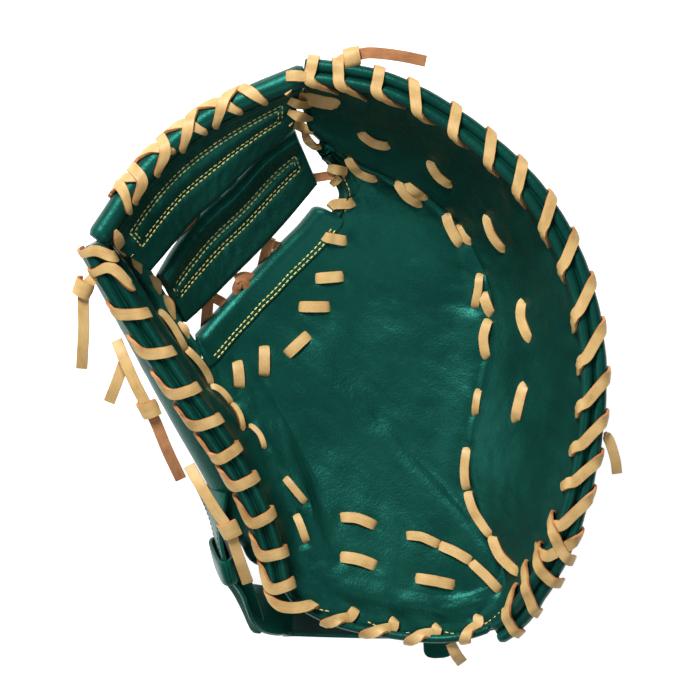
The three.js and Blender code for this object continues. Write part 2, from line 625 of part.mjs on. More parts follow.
// Wrist band across the back of the hand. It lies on the floor and rises outside the thumb.
// Columns: x, y and clear height of its middle as shares, then the way of its outer face in right
// angles from down to outwards.
const BAND_ROWS = [
  [-0.254, -0.224, 0.412, 1.4],
  [-0.240, -0.313, 0.323, 1.05],
  [-0.214, -0.385, 0.225, 1.05],
  [-0.156, -0.436, 0.125, 0.4],
  [-0.100, -0.437, 0.000, 0.0],
  [ 0.103, -0.441, 0.000, 0.0],
  [ 0.216, -0.437, 0.000, 0.0],
  [ 0.286, -0.424, 0.029, -0.1],
];
const LAST_BAND_ROW = BAND_ROWS.length - 1;
const bandMiddle = curveThrough(BAND_ROWS.map(([x, y, z]) => place(x, y, z)));
const bandTurn = columnOf(BAND_ROWS, 3);

function bandPoint(row) {
  const point = bandMiddle(row);
  return point.setZ(Math.max(point.z, 0) + STRAP_THICKNESS / 2);
}

// The band at a row: its middle, the way along it, its outer face, and the level way out.
function bandAt(row) {
  const step = 0.1;
  const along = new THREE.Vector3().subVectors(bandPoint(row + step), bandPoint(row - step)).normalize();
  const out = new THREE.Vector3().crossVectors(along, UP).normalize();
  const turn = (bandTurn(row) * Math.PI) / 2;
  const face = moved(new THREE.Vector3(), [out, Math.sin(turn)], [UP, -Math.cos(turn)]);
  return { point: bandPoint(row), along, face, out };
}

// A strap that lies along the band, away from its middle by an amount along the outer face.
function addAlongBand(name, rows, away, width, thickness, look) {
  const stops = rows.map((row, i) => {
    const band = bandAt(row);
    return { ...band, point: moved(band.point, [band.face, away[i]]), width, thickness };
  });
  addStrap(name, stops, look);
}

const bandRows = spread(0, LAST_BAND_ROW, 4 * LAST_BAND_ROW);
const liningRows = bandRows.filter((row) => row >= 4);
const liningAway = -(STRAP_THICKNESS / 2 + 2 * FACET_ALLOWANCE + LINING_THICKNESS / 2);
addAlongBand("wrist_band", bandRows, bandRows.map(() => 0), BAND_WIDTH, STRAP_THICKNESS, DARK_GREEN);
const liningWidth = BAND_WIDTH - 2 * LINING_THICKNESS;
const liningStops = liningRows.map(() => liningAway);
addAlongBand("wrist_lining", liningRows, liningStops, liningWidth, LINING_THICKNESS, BLACK);

// Keeper loop round the band, and the band's pull tab that leaves it on the outside.
const KEEPER_ROW = 1.5;
const KEEPER_LENGTH = 9;
const KEEPER_ROOM = 1.4;
const TAB_WIDTH = 14;

const keeperHalf = [BAND_WIDTH / 2 + KEEPER_ROOM, STRAP_THICKNESS / 2 + KEEPER_ROOM];
const keeperShape = new THREE.Shape();
keeperShape.moveTo(-keeperHalf[0] - KEEPER_THICKNESS, -keeperHalf[1] - KEEPER_THICKNESS);
keeperShape.lineTo(keeperHalf[0] + KEEPER_THICKNESS, -keeperHalf[1] - KEEPER_THICKNESS);
keeperShape.lineTo(keeperHalf[0] + KEEPER_THICKNESS, keeperHalf[1] + KEEPER_THICKNESS);
keeperShape.lineTo(-keeperHalf[0] - KEEPER_THICKNESS, keeperHalf[1] + KEEPER_THICKNESS);
const keeperHole = new THREE.Path();
keeperHole.moveTo(-keeperHalf[0], -keeperHalf[1]);
keeperHole.lineTo(-keeperHalf[0], keeperHalf[1]);
keeperHole.lineTo(keeperHalf[0], keeperHalf[1]);
keeperHole.lineTo(keeperHalf[0], -keeperHalf[1]);
keeperShape.holes.push(keeperHole);
const keeperGeometry = new THREE.ExtrudeGeometry(keeperShape, { depth: KEEPER_LENGTH, bevelEnabled: false });
keeperGeometry.translate(0, 0, -KEEPER_LENGTH / 2);
const keeper = new THREE.Mesh(keeperGeometry, new THREE.MeshStandardMaterial(DARK_GREEN));
keeper.name = "strap_keeper";
const keeperPlace = bandAt(KEEPER_ROW);
const keeperFace = moved(keeperPlace.face, [keeperPlace.along, -keeperPlace.face.dot(keeperPlace.along)]);
const keeperSide = new THREE.Vector3().crossVectors(keeperFace.normalize(), keeperPlace.along);
keeper.setRotationFromMatrix(new THREE.Matrix4().makeBasis(keeperSide, keeperFace, keeperPlace.along));
keeper.position.copy(keeperPlace.point);
group.add(keeper);

const tabAway = STRAP_THICKNESS / 2 + 2 * CLEARANCE + TAB_THICKNESS / 2;
const tabRows = [1.85, 2.15, 2.45, 2.75];
const tabStopsAway = [1, 1.4, 2.4, 3.4].map((lift) => lift * tabAway);
addAlongBand("pull_tab", tabRows, tabStopsAway, TAB_WIDTH, TAB_THICKNESS, DARK_GREEN);

// Small leather tab at the low edge of the band.
const HEEL_TAB_ROW = 5.6;
const HEEL_TAB_LENGTH = 9;
const tabSeat = bandAt(HEEL_TAB_ROW);
const tabStops = [CLEARANCE, CLEARANCE + HEEL_TAB_LENGTH].map((reach) => {
  const point = moved(tabSeat.point, [tabSeat.out, BAND_WIDTH / 2 + reach]).setZ(TAB_THICKNESS / 2);
  return { point, face: UP, width: TAB_WIDTH, thickness: TAB_THICKNESS };
});
addStrap("heel_tab", tabStops, DARK_GREEN);

export default group;
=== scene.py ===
# %% [markdown]
# # A first baseman mitt
#
# A mitt is a leather body with its parts laced together: a padded pocket in front, an outer leather
# behind the hand, a double rolled rim, a web of two bars, and metres of rawhide lace.
# This lesson builds the looks of such a mitt around a plain CAD model of it. The CAD model gives the
# places, so it is loaded first and nothing in it is ever moved.

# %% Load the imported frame
import math
import bpy
import bmesh
import numpy as np
from mathutils import Matrix, Vector, noise
from mathutils.bvhtree import BVHTree


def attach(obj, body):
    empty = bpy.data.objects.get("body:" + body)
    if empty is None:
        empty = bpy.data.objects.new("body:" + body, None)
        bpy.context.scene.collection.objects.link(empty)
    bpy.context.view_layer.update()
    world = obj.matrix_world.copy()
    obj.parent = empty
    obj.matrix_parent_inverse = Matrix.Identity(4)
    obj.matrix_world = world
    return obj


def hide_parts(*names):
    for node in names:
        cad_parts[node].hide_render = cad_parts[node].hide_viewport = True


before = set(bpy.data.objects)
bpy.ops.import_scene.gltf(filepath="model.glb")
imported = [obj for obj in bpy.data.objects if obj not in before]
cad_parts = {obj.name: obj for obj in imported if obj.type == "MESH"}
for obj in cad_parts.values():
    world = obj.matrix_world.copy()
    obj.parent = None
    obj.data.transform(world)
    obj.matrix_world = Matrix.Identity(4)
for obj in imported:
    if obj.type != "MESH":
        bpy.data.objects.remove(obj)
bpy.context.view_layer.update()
MM = 0.001
print("solids:", len(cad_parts))

# %% [markdown]
# ## Camera, floor and light
#
# The photograph looks straight down into the pocket from far away, so its lines hardly converge. A
# long lens high above the mitt gives the same view. A pale floor and large soft lamps give the light
# of a plain studio. The camera comes first, so every later step can be judged through it.

# %% Camera
PIXEL = 0.47 * MM
camera_data = bpy.data.cameras.new("camera")
camera = bpy.data.objects.new("camera", camera_data)
bpy.context.scene.collection.objects.link(camera)
camera.location = (0.0027, 0.0010, 5.0)
camera_data.sensor_width = 36
camera_data.lens = 36 * (5.0 - 0.07) / (700 * PIXEL)
camera_data.clip_end = 20
bpy.context.scene.camera = camera
bpy.context.scene.view_settings.view_transform = "Standard"
print("lens:", round(camera_data.lens), "mm")

# %% Lamps
def soft_lamp(name, place, size, power):
    lamp = bpy.data.lights.new(name, "AREA")
    lamp.size = size
    lamp.energy = power
    lit = bpy.data.objects.new(name, lamp)
    bpy.context.scene.collection.objects.link(lit)
    lit.location = place
    lit.rotation_euler = (-Vector(place)).to_track_quat("-Z", "Y").to_euler()
    return lit


soft_lamp("key_lamp", (-0.5, 1.1, 1.3), 0.5, 50)
soft_lamp("fill_lamp", (0.35, -0.8, 1.4), 0.9, 6)
soft_lamp("side_lamp", (-1.3, -0.1, 1.0), 0.9, 6)

world = bpy.data.worlds.new("studio")
world.use_nodes = True
world.node_tree.nodes["Background"].inputs["Color"].default_value = (1, 1, 1, 1)
world.node_tree.nodes["Background"].inputs["Strength"].default_value = 0.12
bpy.context.scene.world = world

# %% [markdown]
# ## Sections of the body
#
# The whole leather body follows one table, the same that the CAD model uses. Each row is one cross
# section, from the rim over the fold between wall and palm to the palm's edge at the web. A smooth
# curve through the rows can be read anywhere, with a row number such as 3.4.

# %% Sizes and the section table
WIDTH, LENGTH, DEPTH = 0.250, 0.275, 0.102
BOX_MIDDLE_X, BOX_MIDDLE_Y = -0.0015, 0.0083
WELT_RADIUS = 3.0 * MM
WELT_SPACING = 6.3 * MM
LACE_WIDTH = 5.4 * MM
LACE_THICKNESS = 1.6 * MM
RIM_DROP = 5.7 * MM
UP = Vector((0, 0, 1))

SECTION_COLUMNS = ("rim_x", "rim_y", "rim_z", "fold_x", "fold_y", "fold_z", "edge_x", "edge_y", "edge_z",
                   "foot", "base", "bulge", "open")
SECTION_ROWS = [
    (-0.077,  0.487,  0.951, -0.055,  0.381,  0.608, -0.026,  0.349,  0.549, 0.50, 0.431, 0.000, 0.0),
    (-0.009,  0.479,  0.961,  0.004,  0.340,  0.529, -0.021,  0.328,  0.510, 0.55, 0.353, 0.000, 0.0),
    ( 0.073,  0.463,  0.971,  0.075,  0.308,  0.490, -0.008,  0.306,  0.471, 0.60, 0.265, 0.000, 0.0),
    ( 0.160,  0.426,  0.980,  0.148,  0.274,  0.461,  0.002,  0.285,  0.441, 0.65, 0.176, 0.000, 0.0),
    ( 0.261,  0.361,  0.990,  0.205,  0.229,  0.441,  0.000,  0.265,  0.422, 0.70, 0.088, 0.000, 0.0),
    ( 0.357,  0.272,  1.000,  0.250,  0.162,  0.431, -0.013,  0.243,  0.402, 0.72, 0.029, 0.000, 0.0),
    ( 0.430,  0.149,  1.000,  0.276,  0.089,  0.431, -0.032,  0.221,  0.382, 0.74, 0.000, 0.000, 0.0),
    ( 0.464,  0.000,  0.990,  0.265,  0.009,  0.431, -0.056,  0.195,  0.363, 0.75, 0.000, 0.000, 0.0),
    ( 0.455, -0.150,  0.961,  0.242, -0.094,  0.431, -0.085,  0.169,  0.353, 0.75, 0.000, 0.000, 0.0),
    ( 0.415, -0.296,  0.882,  0.229, -0.185,  0.422, -0.113,  0.144,  0.343, 0.72, 0.000, 0.000, 0.0),
    ( 0.359, -0.398,  0.745,  0.258, -0.287,  0.431, -0.141,  0.116,  0.338, 0.70, 0.000, 0.000, 0.1),
    ( 0.301, -0.463,  0.588,  0.291, -0.368,  0.471, -0.164,  0.096,  0.338, 0.60, 0.000, 0.000, 0.5),
    ( 0.207, -0.494,  0.490,  0.220, -0.407,  0.441, -0.182,  0.077,  0.343, 0.50, 0.000, 0.000, 1.0),
    ( 0.073, -0.487,  0.456,  0.094, -0.395,  0.422, -0.201,  0.058,  0.353, 0.50, 0.000, 0.000, 1.0),
    (-0.047, -0.458,  0.461, -0.019, -0.356,  0.412, -0.218,  0.041,  0.363, 0.50, 0.000, 0.000, 1.0),
    (-0.113, -0.415,  0.480, -0.051, -0.304,  0.412, -0.231,  0.027,  0.373, 0.45, 0.000, 0.002, 0.7),
    (-0.137, -0.338,  0.529, -0.075, -0.239,  0.412, -0.242,  0.015,  0.382, 0.40, 0.000, 0.006, 0.2),
    (-0.167, -0.258,  0.608, -0.122, -0.179,  0.412, -0.252,  0.005,  0.402, 0.35, 0.000, 0.008, 0.0),
    (-0.224, -0.162,  0.696, -0.186, -0.125,  0.422, -0.263, -0.002,  0.422, 0.35, 0.020, 0.009, 0.0),
    (-0.295, -0.070,  0.775, -0.250, -0.063,  0.490, -0.276, -0.009,  0.441, 0.35, 0.088, 0.009, 0.0),
    (-0.367,  0.027,  0.843, -0.318,  0.022,  0.569, -0.295,  0.012,  0.480, 0.40, 0.196, 0.009, 0.0),
    (-0.427,  0.115,  0.892, -0.382,  0.115,  0.667, -0.359,  0.104,  0.549, 0.45, 0.353, 0.006, 0.0),
    (-0.472,  0.191,  0.931, -0.438,  0.190,  0.784, -0.410,  0.181,  0.657, 0.50, 0.510, 0.004, 0.0),
]
LAST_SECTION = len(SECTION_ROWS) - 1


def place(x, y, z):
    return Vector(((x - BOX_MIDDLE_X) * WIDTH, (y - BOX_MIDDLE_Y) * LENGTH, z * DEPTH))


# %% Smooth curves
def curve_through(points):
    """A smooth curve through points, read by a row number that need not be whole."""
    points = [Vector(p) for p in points]
    last = len(points) - 1

    def at(row):
        row = min(max(row, 0.0), last)
        i = min(int(row), last - 1)
        w = row - i
        p1, p2 = points[i], points[i + 1]
        p0 = points[i - 1] if i > 0 else 2 * p1 - p2
        p3 = points[i + 2] if i + 2 <= last else 2 * p2 - p1
        d0, d1, d2 = [max((b - a).length_squared, 1e-16) ** 0.25 for a, b in ((p0, p1), (p1, p2), (p2, p3))]
        t1 = ((p1 - p0) / d0 - (p2 - p0) / (d0 + d1) + (p2 - p1) / d1) * d1
        t2 = ((p2 - p1) / d1 - (p3 - p1) / (d1 + d2) + (p3 - p2) / d2) * d1
        return p1 + t1 * w + (3 * (p2 - p1) - 2 * t1 - t2) * w ** 2 + (2 * (p1 - p2) + t1 + t2) * w ** 3

    return at


def column(name):
    values = [row[SECTION_COLUMNS.index(name)] for row in SECTION_ROWS]

    def at(row):
        i = min(max(int(row), 0), LAST_SECTION - 1)
        w = min(max(row - i, 0.0), 1.0)
        return values[i] + (values[i + 1] - values[i]) * w * w * (3 - 2 * w)

    return at


def steps(first, last, count):
    return [first + (last - first) * i / count for i in range(count + 1)]


def blend(a, b, share):
    return a + (b - a) * share


def ease(low, high, value):
    w = min(max((value - low) / (high - low), 0.0), 1.0)
    return w * w * (3 - 2 * w)


rim_point = curve_through([place(*row[0:3]) for row in SECTION_ROWS])
fold_point = curve_through([place(*row[3:6]) for row in SECTION_ROWS])
edge_point = curve_through([place(*row[6:9]) for row in SECTION_ROWS])
foot, base, bulge, opened = column("foot"), column("base"), column("bulge"), column("open")


def rim_at(row):
    """The rim's point, the way along it, the level way out from the pocket, and the way to its top."""
    along = (rim_point(row + 0.1) - rim_point(row - 0.1)).normalized()
    out = UP.cross(along).normalized()
    return rim_point(row), along, out, along.cross(out)


def edge_at(row):
    """The palm's edge and the level way out from it, towards the web."""
    along = (edge_point(row + 0.25) - edge_point(row - 0.25)).normalized()
    return edge_point(row), along.cross(UP).normalized()


def near_rim(row, out, top):
    """A point given in millimetres out from and over the line between the two rim rolls."""
    point, along, way_out, way_top = rim_at(row)
    return point + way_out * out * MM + way_top * top * MM


# %% Pocket face and outer face
def palm_line(row):
    point, along, out, top = rim_at(row)
    start = point - out * WELT_SPACING / 2 - top * RIM_DROP
    fold, edge = fold_point(row), edge_point(row)
    wall = (start + fold) / 2 - UP * 0.05 * DEPTH * (1 - opened(row))
    palm = (fold + edge) / 2 - UP * 0.035 * DEPTH
    # Where the thumb meets the heel, the sections bow into the palm so that none crosses the next.
    palm += Vector((0.9, 0.4, 0)) * 9.0 * MM * ease(13.0, 14.4, row) * (1 - ease(15.0, 17.6, row))
    # Beside the web the thumb's leather reaches under the ends of the bars, where their laces lie.
    edge = edge + Vector((0.87, 0.5, 0)) * 5.0 * MM * ease(18.4, 20.0, row)
    line = curve_through([start, wall, fold, palm, edge])
    return lambda share: line(4 * share)


def palm_face(row, share, lift=0.0):
    """A point on the pocket face, lifted by millimetres, and the way that the face looks."""
    here = palm_line(row)
    along = palm_line(row + 0.05)(share) - palm_line(row - 0.05)(share)
    across = here(share + 0.03) - here(share - 0.03)
    face = along.cross(across).normalized()
    face = face if face.z > 0 else -face
    return here(share) + face * lift * MM, face


def back_line(row):
    rim, along, out, top = rim_at(row)
    edge = edge_point(row)
    floor_height = base(row) * DEPTH
    hem = edge - UP * (5 + 2.6 + 1.5) * MM

    def on_floor(point):
        return Vector((point.x, point.y, floor_height))

    def at_height(point, share):
        return Vector((point.x, point.y, blend(rim.z, floor_height, share)))

    foot_point = on_floor(blend(rim, fold_point(row), foot(row)))
    closed = [
        rim + out * WELT_SPACING / 2 - top * RIM_DROP,
        at_height(rim + out * (WELT_SPACING / 2 + bulge(row) * WIDTH), 0.4),
        at_height(blend(rim, foot_point, 0.45), 0.82),
        foot_point,
        on_floor(blend(foot_point, hem, 0.5)),
        on_floor(blend(foot_point, hem, 0.86)),
        hem,
    ]
    mouth = blend(foot_point, on_floor(hem), 0.12)
    last = len(closed) - 1
    drawn = [hem if i == last else on_floor(blend(mouth, hem, i / len(closed))) for i in range(last + 1)]
    line = curve_through([blend(a, b, opened(row)) for a, b in zip(closed, drawn)])
    return lambda share: line(last * share)


print("rim length:", round(sum((rim_point(r + 0.1) - rim_point(r)).length for r in steps(0, 21.9, 219)),
                           3), "m")

# %% [markdown]
# ## Tools of the workshop
#
# Every leather piece starts from one of three moves. A skin is a grid laid over rings of points: left
# open it is a sheet, closed it is a roll or a strap. A strap is a skin over a flat lace section that
# turns with the surface it lies on. A thread stitch is a small drop of thread, set again and again.

# %% Skins over rings of points
def skin(bm, rings, closed=True, size=(1.0, 1.0), finishes=None):
    """Lays a grid over rings of points. finishes gives the material of each column. Returns its vertices
    with their ring and column."""
    columns = len(rings[0]) if closed else len(rings[0]) - 1
    rows = len(rings) - 1
    uv = bm.loops.layers.uv.verify()
    made = bmesh.ops.create_grid(bm, x_segments=columns, y_segments=rows, size=0.5)["verts"]
    spots = {v: (round((v.co.y + 0.5) * rows), round((v.co.x + 0.5) * columns)) for v in made}
    for face in {f for v in made for f in v.link_faces}:
        corners = [spots[loop.vert] for loop in face.loops]
        if finishes:
            face.material_index = finishes[min(c[1] for c in corners)]
        for loop, (ring, col) in zip(face.loops, corners):
            loop[uv].uv = (col / columns * size[0], ring / rows * size[1])
    for v, (ring, col) in spots.items():
        v.co = rings[ring][col % len(rings[0])]
    if not closed:
        return [(v, ring, col) for v, (ring, col) in spots.items()]
    bmesh.ops.remove_doubles(bm, verts=made, dist=1e-7)
    rim = [e for e in {e for v in made if v.is_valid for e in v.link_edges} if e.is_boundary]
    bmesh.ops.holes_fill(bm, edges=rim, sides=0)
    return []


def new_sheet():
    return bmesh.new()


LEATHER = []


def finish_piece(name, bm, materials, replaces=(), crease=50, sheet=False, carries=False):
    """Turns a bmesh into a finished piece that rides on the mitt. A sheet already faces the right way.
    A piece that carries laces is remembered, so that they can be laid on it."""
    if not sheet:
        bmesh.ops.recalc_face_normals(bm, faces=bm.faces)
    if carries:
        LEATHER.append(BVHTree.FromBMesh(bm))
    mesh = bpy.data.meshes.new(name)
    bm.to_mesh(mesh)
    bm.free()
    for material in materials:
        mesh.materials.append(material)
    mesh.shade_smooth()
    mesh.set_sharp_from_angle(angle=math.radians(crease))
    piece = bpy.data.objects.new(name, mesh)
    bpy.context.scene.collection.objects.link(piece)
    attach(piece, "root")
    if replaces:
        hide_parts(*replaces)
    print(name, len(mesh.polygons), "faces")
    return piece


# %% Rolls
def round_ring(centre, out, top, radius, sides, flatten=1.0):
    turn = 2 * math.pi / sides
    return [centre + out * radius * math.cos(i * turn) + top * radius * flatten * math.sin(i * turn)
            for i in range(sides)]


# %% Straps and laces
LACE_SECTION = [(-0.94, 0.9), (-0.5, 1.0), (0.0, 1.05), (0.5, 1.0), (0.94, 0.9), (1.0, 0.55), (1.0, -0.6),
                (0.95, -0.95), (0.5, -1.0), (-0.5, -1.0), (-0.95, -0.95), (-1.0, -0.6), (-1.0, 0.55)]
# Material of each side of the section: 0 grain side, 1 cut edge, 2 flesh side.
LACE_SIDES = [0, 0, 0, 0, 1, 1, 1, 2, 2, 2, 1, 1, 1]


def strap(bm, stops, width=LACE_WIDTH, thickness=LACE_THICKNESS, fine=5):
    """A flat lace. Each stop has a point, the way that its grain side looks, and optional shares of
    width and thickness."""
    stops = [tuple(stop) + (1.0, 1.0)[len(stop) - 2:] for stop in stops]
    path = curve_through([s[0] for s in stops])
    faces = curve_through([s[1].normalized() for s in stops])
    shares = curve_through([Vector((s[2], s[3], 0)) for s in stops])
    last = len(stops) - 1
    rings = []
    reach = 0.0
    for row in steps(0, last, last * fine):
        along = (path(row + 0.08) - path(row - 0.08)).normalized()
        side = along.cross(faces(row)).normalized()
        face = side.cross(along)
        share = shares(row)
        half = (width / 2 * max(share.x, 0.15), thickness / 2 * max(share.y, 0.15))
        rings.append([path(row) + side * a * half[0] + face * b * half[1] for a, b in LACE_SECTION])
        reach += (path(row) - path(row - 1 / fine)).length
    skin(bm, rings, size=(2 * width, reach), finishes=LACE_SIDES)


# %% Thread stitches
def thread_drop():
    """One thread stitch, a small drop along X, ready to be set in many places."""
    bm = bmesh.new()
    bmesh.ops.create_uvsphere(bm, u_segments=6, v_segments=4, radius=0.5)
    bmesh.ops.rotate(bm, verts=bm.verts, cent=(0, 0, 0), matrix=Matrix.Rotation(math.pi / 2, 3, "Y"))
    mesh = bpy.data.meshes.new("thread_drop")
    bm.to_mesh(mesh)
    bm.free()
    return mesh


DROP = thread_drop()
STITCH_LENGTH = 2.1 * MM
STITCH_GAP = 0.6 * MM
THREAD_THICKNESS = 0.75 * MM


def sew(bm, points):
    """Sets thread stitches along a line of (point, face) pairs, half sunk into the leather."""
    walked = 0.0
    start = None
    pitch = STITCH_LENGTH + STITCH_GAP
    samples = []
    for (a, face), (b, _) in zip(points, points[1:]):
        span = (b - a).length
        while walked < span:
            samples.append((a + (b - a) * walked / span, face))
            walked += pitch
        walked -= span
    for (a, face), (b, _) in zip(samples, samples[1:]):
        along = (b - a).normalized()
        side = face.cross(along).normalized()
        turn = Matrix((along, side, along.cross(side))).transposed().to_4x4()
        size = Matrix.Diagonal((STITCH_LENGTH, THREAD_THICKNESS, THREAD_THICKNESS * 0.8, 1))
        first = len(bm.verts)
        bm.from_mesh(DROP)
        bm.verts.ensure_lookup_table()
        bmesh.ops.transform(bm, matrix=Matrix.Translation((a + b) / 2) @ turn @ size,
                            verts=bm.verts[first:])
    return len(samples) - 1


# %% [markdown]
# ## Leathers, thread and lining
#
# Full-grain leather is never one colour: dye gathers in the creases, the grain catches the light, and
# handled places shine more. Each material mixes a slow cloud of tone with a fine grain, and adds the
# grain as bump. All patterns follow Object coordinates, so they stay put on the piece. Laces also have
# fibres along their length, which follow the piece's own UV map.

# %% Node helpers
def node(tree, kind, **values):
    made = tree.nodes.new(kind)
    for key, value in values.items():
        if key in made.inputs:
            made.inputs[key].default_value = value
        else:
            setattr(made, key, value)
    return made


def ramp(tree, source, stops):
    made = tree.nodes.new("ShaderNodeValToRGB")
    while len(made.color_ramp.elements) < len(stops):
        made.color_ramp.elements.new(0.5)
    for element, (where, colour) in zip(made.color_ramp.elements, stops):
        element.position = where
        element.color = (*colour, 1)
    tree.links.new(source, made.inputs["Fac"])
    return made.outputs["Color"]


def bumped(tree, height, strength, distance, below=None):
    made = node(tree, "ShaderNodeBump", Strength=strength, Distance=distance)
    tree.links.new(height, made.inputs["Height"])
    if below:
        tree.links.new(below, made.inputs["Normal"])
    return made.outputs["Normal"]


def start_material(name, roughness, specular, sheen=(1, 1, 1)):
    material = bpy.data.materials.new(name)
    material.use_nodes = True
    tree = material.node_tree
    shader = tree.nodes["Principled BSDF"]
    shader.inputs["Roughness"].default_value = roughness
    shader.inputs["Specular IOR Level"].default_value = specular
    shader.inputs["Specular Tint"].default_value = (*sheen, 1)
    where = tree.nodes.new("ShaderNodeTexCoord")
    return material, tree, shader, where


# %% Full-grain leather
def grain_leather(name, dark, middle, light, roughness=(0.33, 0.46), grain=0.35, creases=0.3):
    material, tree, shader, where = start_material(name, 0.45, 0.55, (0.10, 0.76, 0.60))
    cloud = node(tree, "ShaderNodeTexNoise", Scale=26.0, Detail=5.0, Roughness=0.55)
    speckle = node(tree, "ShaderNodeTexNoise", Scale=900.0, Detail=3.0, Roughness=0.6)
    wrinkle = node(tree, "ShaderNodeTexNoise", Scale=190.0, Detail=7.0, Roughness=0.62, Distortion=0.6)
    pebble = node(tree, "ShaderNodeTexVoronoi", Scale=1050.0, feature="SMOOTH_F1")
    for texture in (cloud, speckle, wrinkle, pebble):
        tree.links.new(where.outputs["Object"], texture.inputs["Vector"])
    tone = node(tree, "ShaderNodeMath", operation="MULTIPLY_ADD")
    tree.links.new(speckle.outputs["Fac"], tone.inputs[0])
    tone.inputs[1].default_value = 0.28
    tree.links.new(cloud.outputs["Fac"], tone.inputs[2])
    colour = ramp(tree, tone.outputs[0], [(0.36, dark), (0.62, middle), (0.9, light)])
    tree.links.new(colour, shader.inputs["Base Color"])
    gloss = node(tree, "ShaderNodeMapRange")
    gloss.inputs["To Min"].default_value, gloss.inputs["To Max"].default_value = roughness
    tree.links.new(wrinkle.outputs["Fac"], gloss.inputs["Value"])
    tree.links.new(gloss.outputs["Result"], shader.inputs["Roughness"])
    folds = bumped(tree, wrinkle.outputs["Fac"], creases, 0.7 * MM)
    tree.links.new(bumped(tree, pebble.outputs["Distance"], grain, 0.25 * MM, folds),
                   shader.inputs["Normal"])
    return material


green = grain_leather("green_leather", (0.0010, 0.015, 0.0108), (0.0020, 0.026, 0.0192),
                      (0.004, 0.040, 0.0300))
deep_green = grain_leather("back_leather", (0.001, 0.024, 0.0165), (0.002, 0.038, 0.0270),
                           (0.0036, 0.054, 0.039))
lining = grain_leather("lining_leather", (0.006, 0.006, 0.006), (0.012, 0.012, 0.012),
                       (0.022, 0.022, 0.022),
                       roughness=(0.6, 0.8))


# %% Rawhide lace: grain side, cut edge and flesh side
def rawhide(name, dark, middle, light, fibre, roughness):
    material, tree, shader, where = start_material(name, roughness, 0.35)
    stretch = node(tree, "ShaderNodeMapping")
    stretch.inputs["Scale"].default_value = (1800, 160, 1)
    tree.links.new(where.outputs["UV"], stretch.inputs["Vector"])
    fibres = node(tree, "ShaderNodeTexNoise", Scale=1.0, Detail=5.0, Roughness=0.6)
    tree.links.new(stretch.outputs["Vector"], fibres.inputs["Vector"])
    cloud = node(tree, "ShaderNodeTexNoise", Scale=120.0, Detail=3.0)
    tree.links.new(where.outputs["Object"], cloud.inputs["Vector"])
    tone = node(tree, "ShaderNodeMath", operation="MULTIPLY_ADD")
    tree.links.new(fibres.outputs["Fac"], tone.inputs[0])
    tone.inputs[1].default_value = fibre
    tree.links.new(cloud.outputs["Fac"], tone.inputs[2])
    colour = ramp(tree, tone.outputs[0], [(0.45, dark), (0.7, middle), (1.0, light)])
    tree.links.new(colour, shader.inputs["Base Color"])
    tree.links.new(bumped(tree, fibres.outputs["Fac"], 0.35, 0.25 * MM), shader.inputs["Normal"])
    return material


lace_grain = rawhide("lace_grain_side", (0.34, 0.20, 0.068), (0.46, 0.292, 0.107), (0.54, 0.365, 0.153),
                     0.5, 0.5)
lace_edge = rawhide("lace_cut_edge", (0.16, 0.05, 0.015), (0.34, 0.125, 0.035), (0.50, 0.23, 0.08), 0.6,
                    0.7)
lace_flesh = rawhide("lace_flesh_side", (0.20, 0.075, 0.025), (0.31, 0.13, 0.05), (0.42, 0.20, 0.085),
                     0.6, 0.85)
LACE = (lace_grain, lace_edge, lace_flesh)


# %% Thread
def thread_material(name, dark, light):
    material, tree, shader, where = start_material(name, 0.6, 0.3)
    twist = node(tree, "ShaderNodeTexNoise", Scale=1600.0, Detail=2.0)
    tree.links.new(where.outputs["Object"], twist.inputs["Vector"])
    colour = ramp(tree, twist.outputs["Fac"], [(0.35, dark), (0.65, light)])
    tree.links.new(colour, shader.inputs["Base Color"])
    tree.links.new(bumped(tree, twist.outputs["Fac"], 0.4, 0.2 * MM), shader.inputs["Normal"])
    return material


thread = thread_material("yellow_thread", (0.45, 0.38, 0.10), (0.72, 0.65, 0.22))

# %% [markdown]
# ## The pocket leather
#
# Palm, finger wall, heel and thumb wall are one padded skin that wraps the hand. It could be sculpted
# from a block, but a sheet over the section table keeps every crease where the real one has it. The
# sheet gets its dents in a second step: each vertex is pushed along its own normal, deep where a lace
# goes through the leather, softly where the padding wrinkles. Solidify then gives it thickness, thin
# at the laced rim and full under the padding.

# %% Tables of the lacing
# Whip stitches of the finger rim: section on the outer roll and on the inner roll, then section and
# share of the hole in the wall, and how wide the lace still is there.
FINGER_WHIPS = [
    (0.24, 0.18, 0.90, 0.090, 0.30), (0.88, 1.02, 1.60, 0.090, 0.30), (1.82, 1.88, 2.50, 0.050, 0.32),
    (2.50, 2.78, 3.20, 0.040, 0.34), (3.34, 3.50, 3.80, 0.050, 0.36), (3.96, 4.18, 4.40, 0.060, 0.42),
    (4.52, 4.74, 5.00, 0.060, 0.50), (5.10, 5.34, 5.60, 0.060, 0.60), (5.62, 5.88, 6.10, 0.050, 0.70),
    (6.16, 6.46, 6.70, 0.060, 0.80), (6.66, 7.00, 7.20, 0.050, 0.85), (7.20, 7.52, 7.70, 0.045, 0.90),
    (7.66, 8.00, 8.15, 0.050, 0.90), (8.10, 8.42, 8.55, 0.055, 0.90), (8.50, 8.94, 9.05, 0.060, 0.90),
    (9.00, 9.40, 9.50, 0.090, 0.90),
]
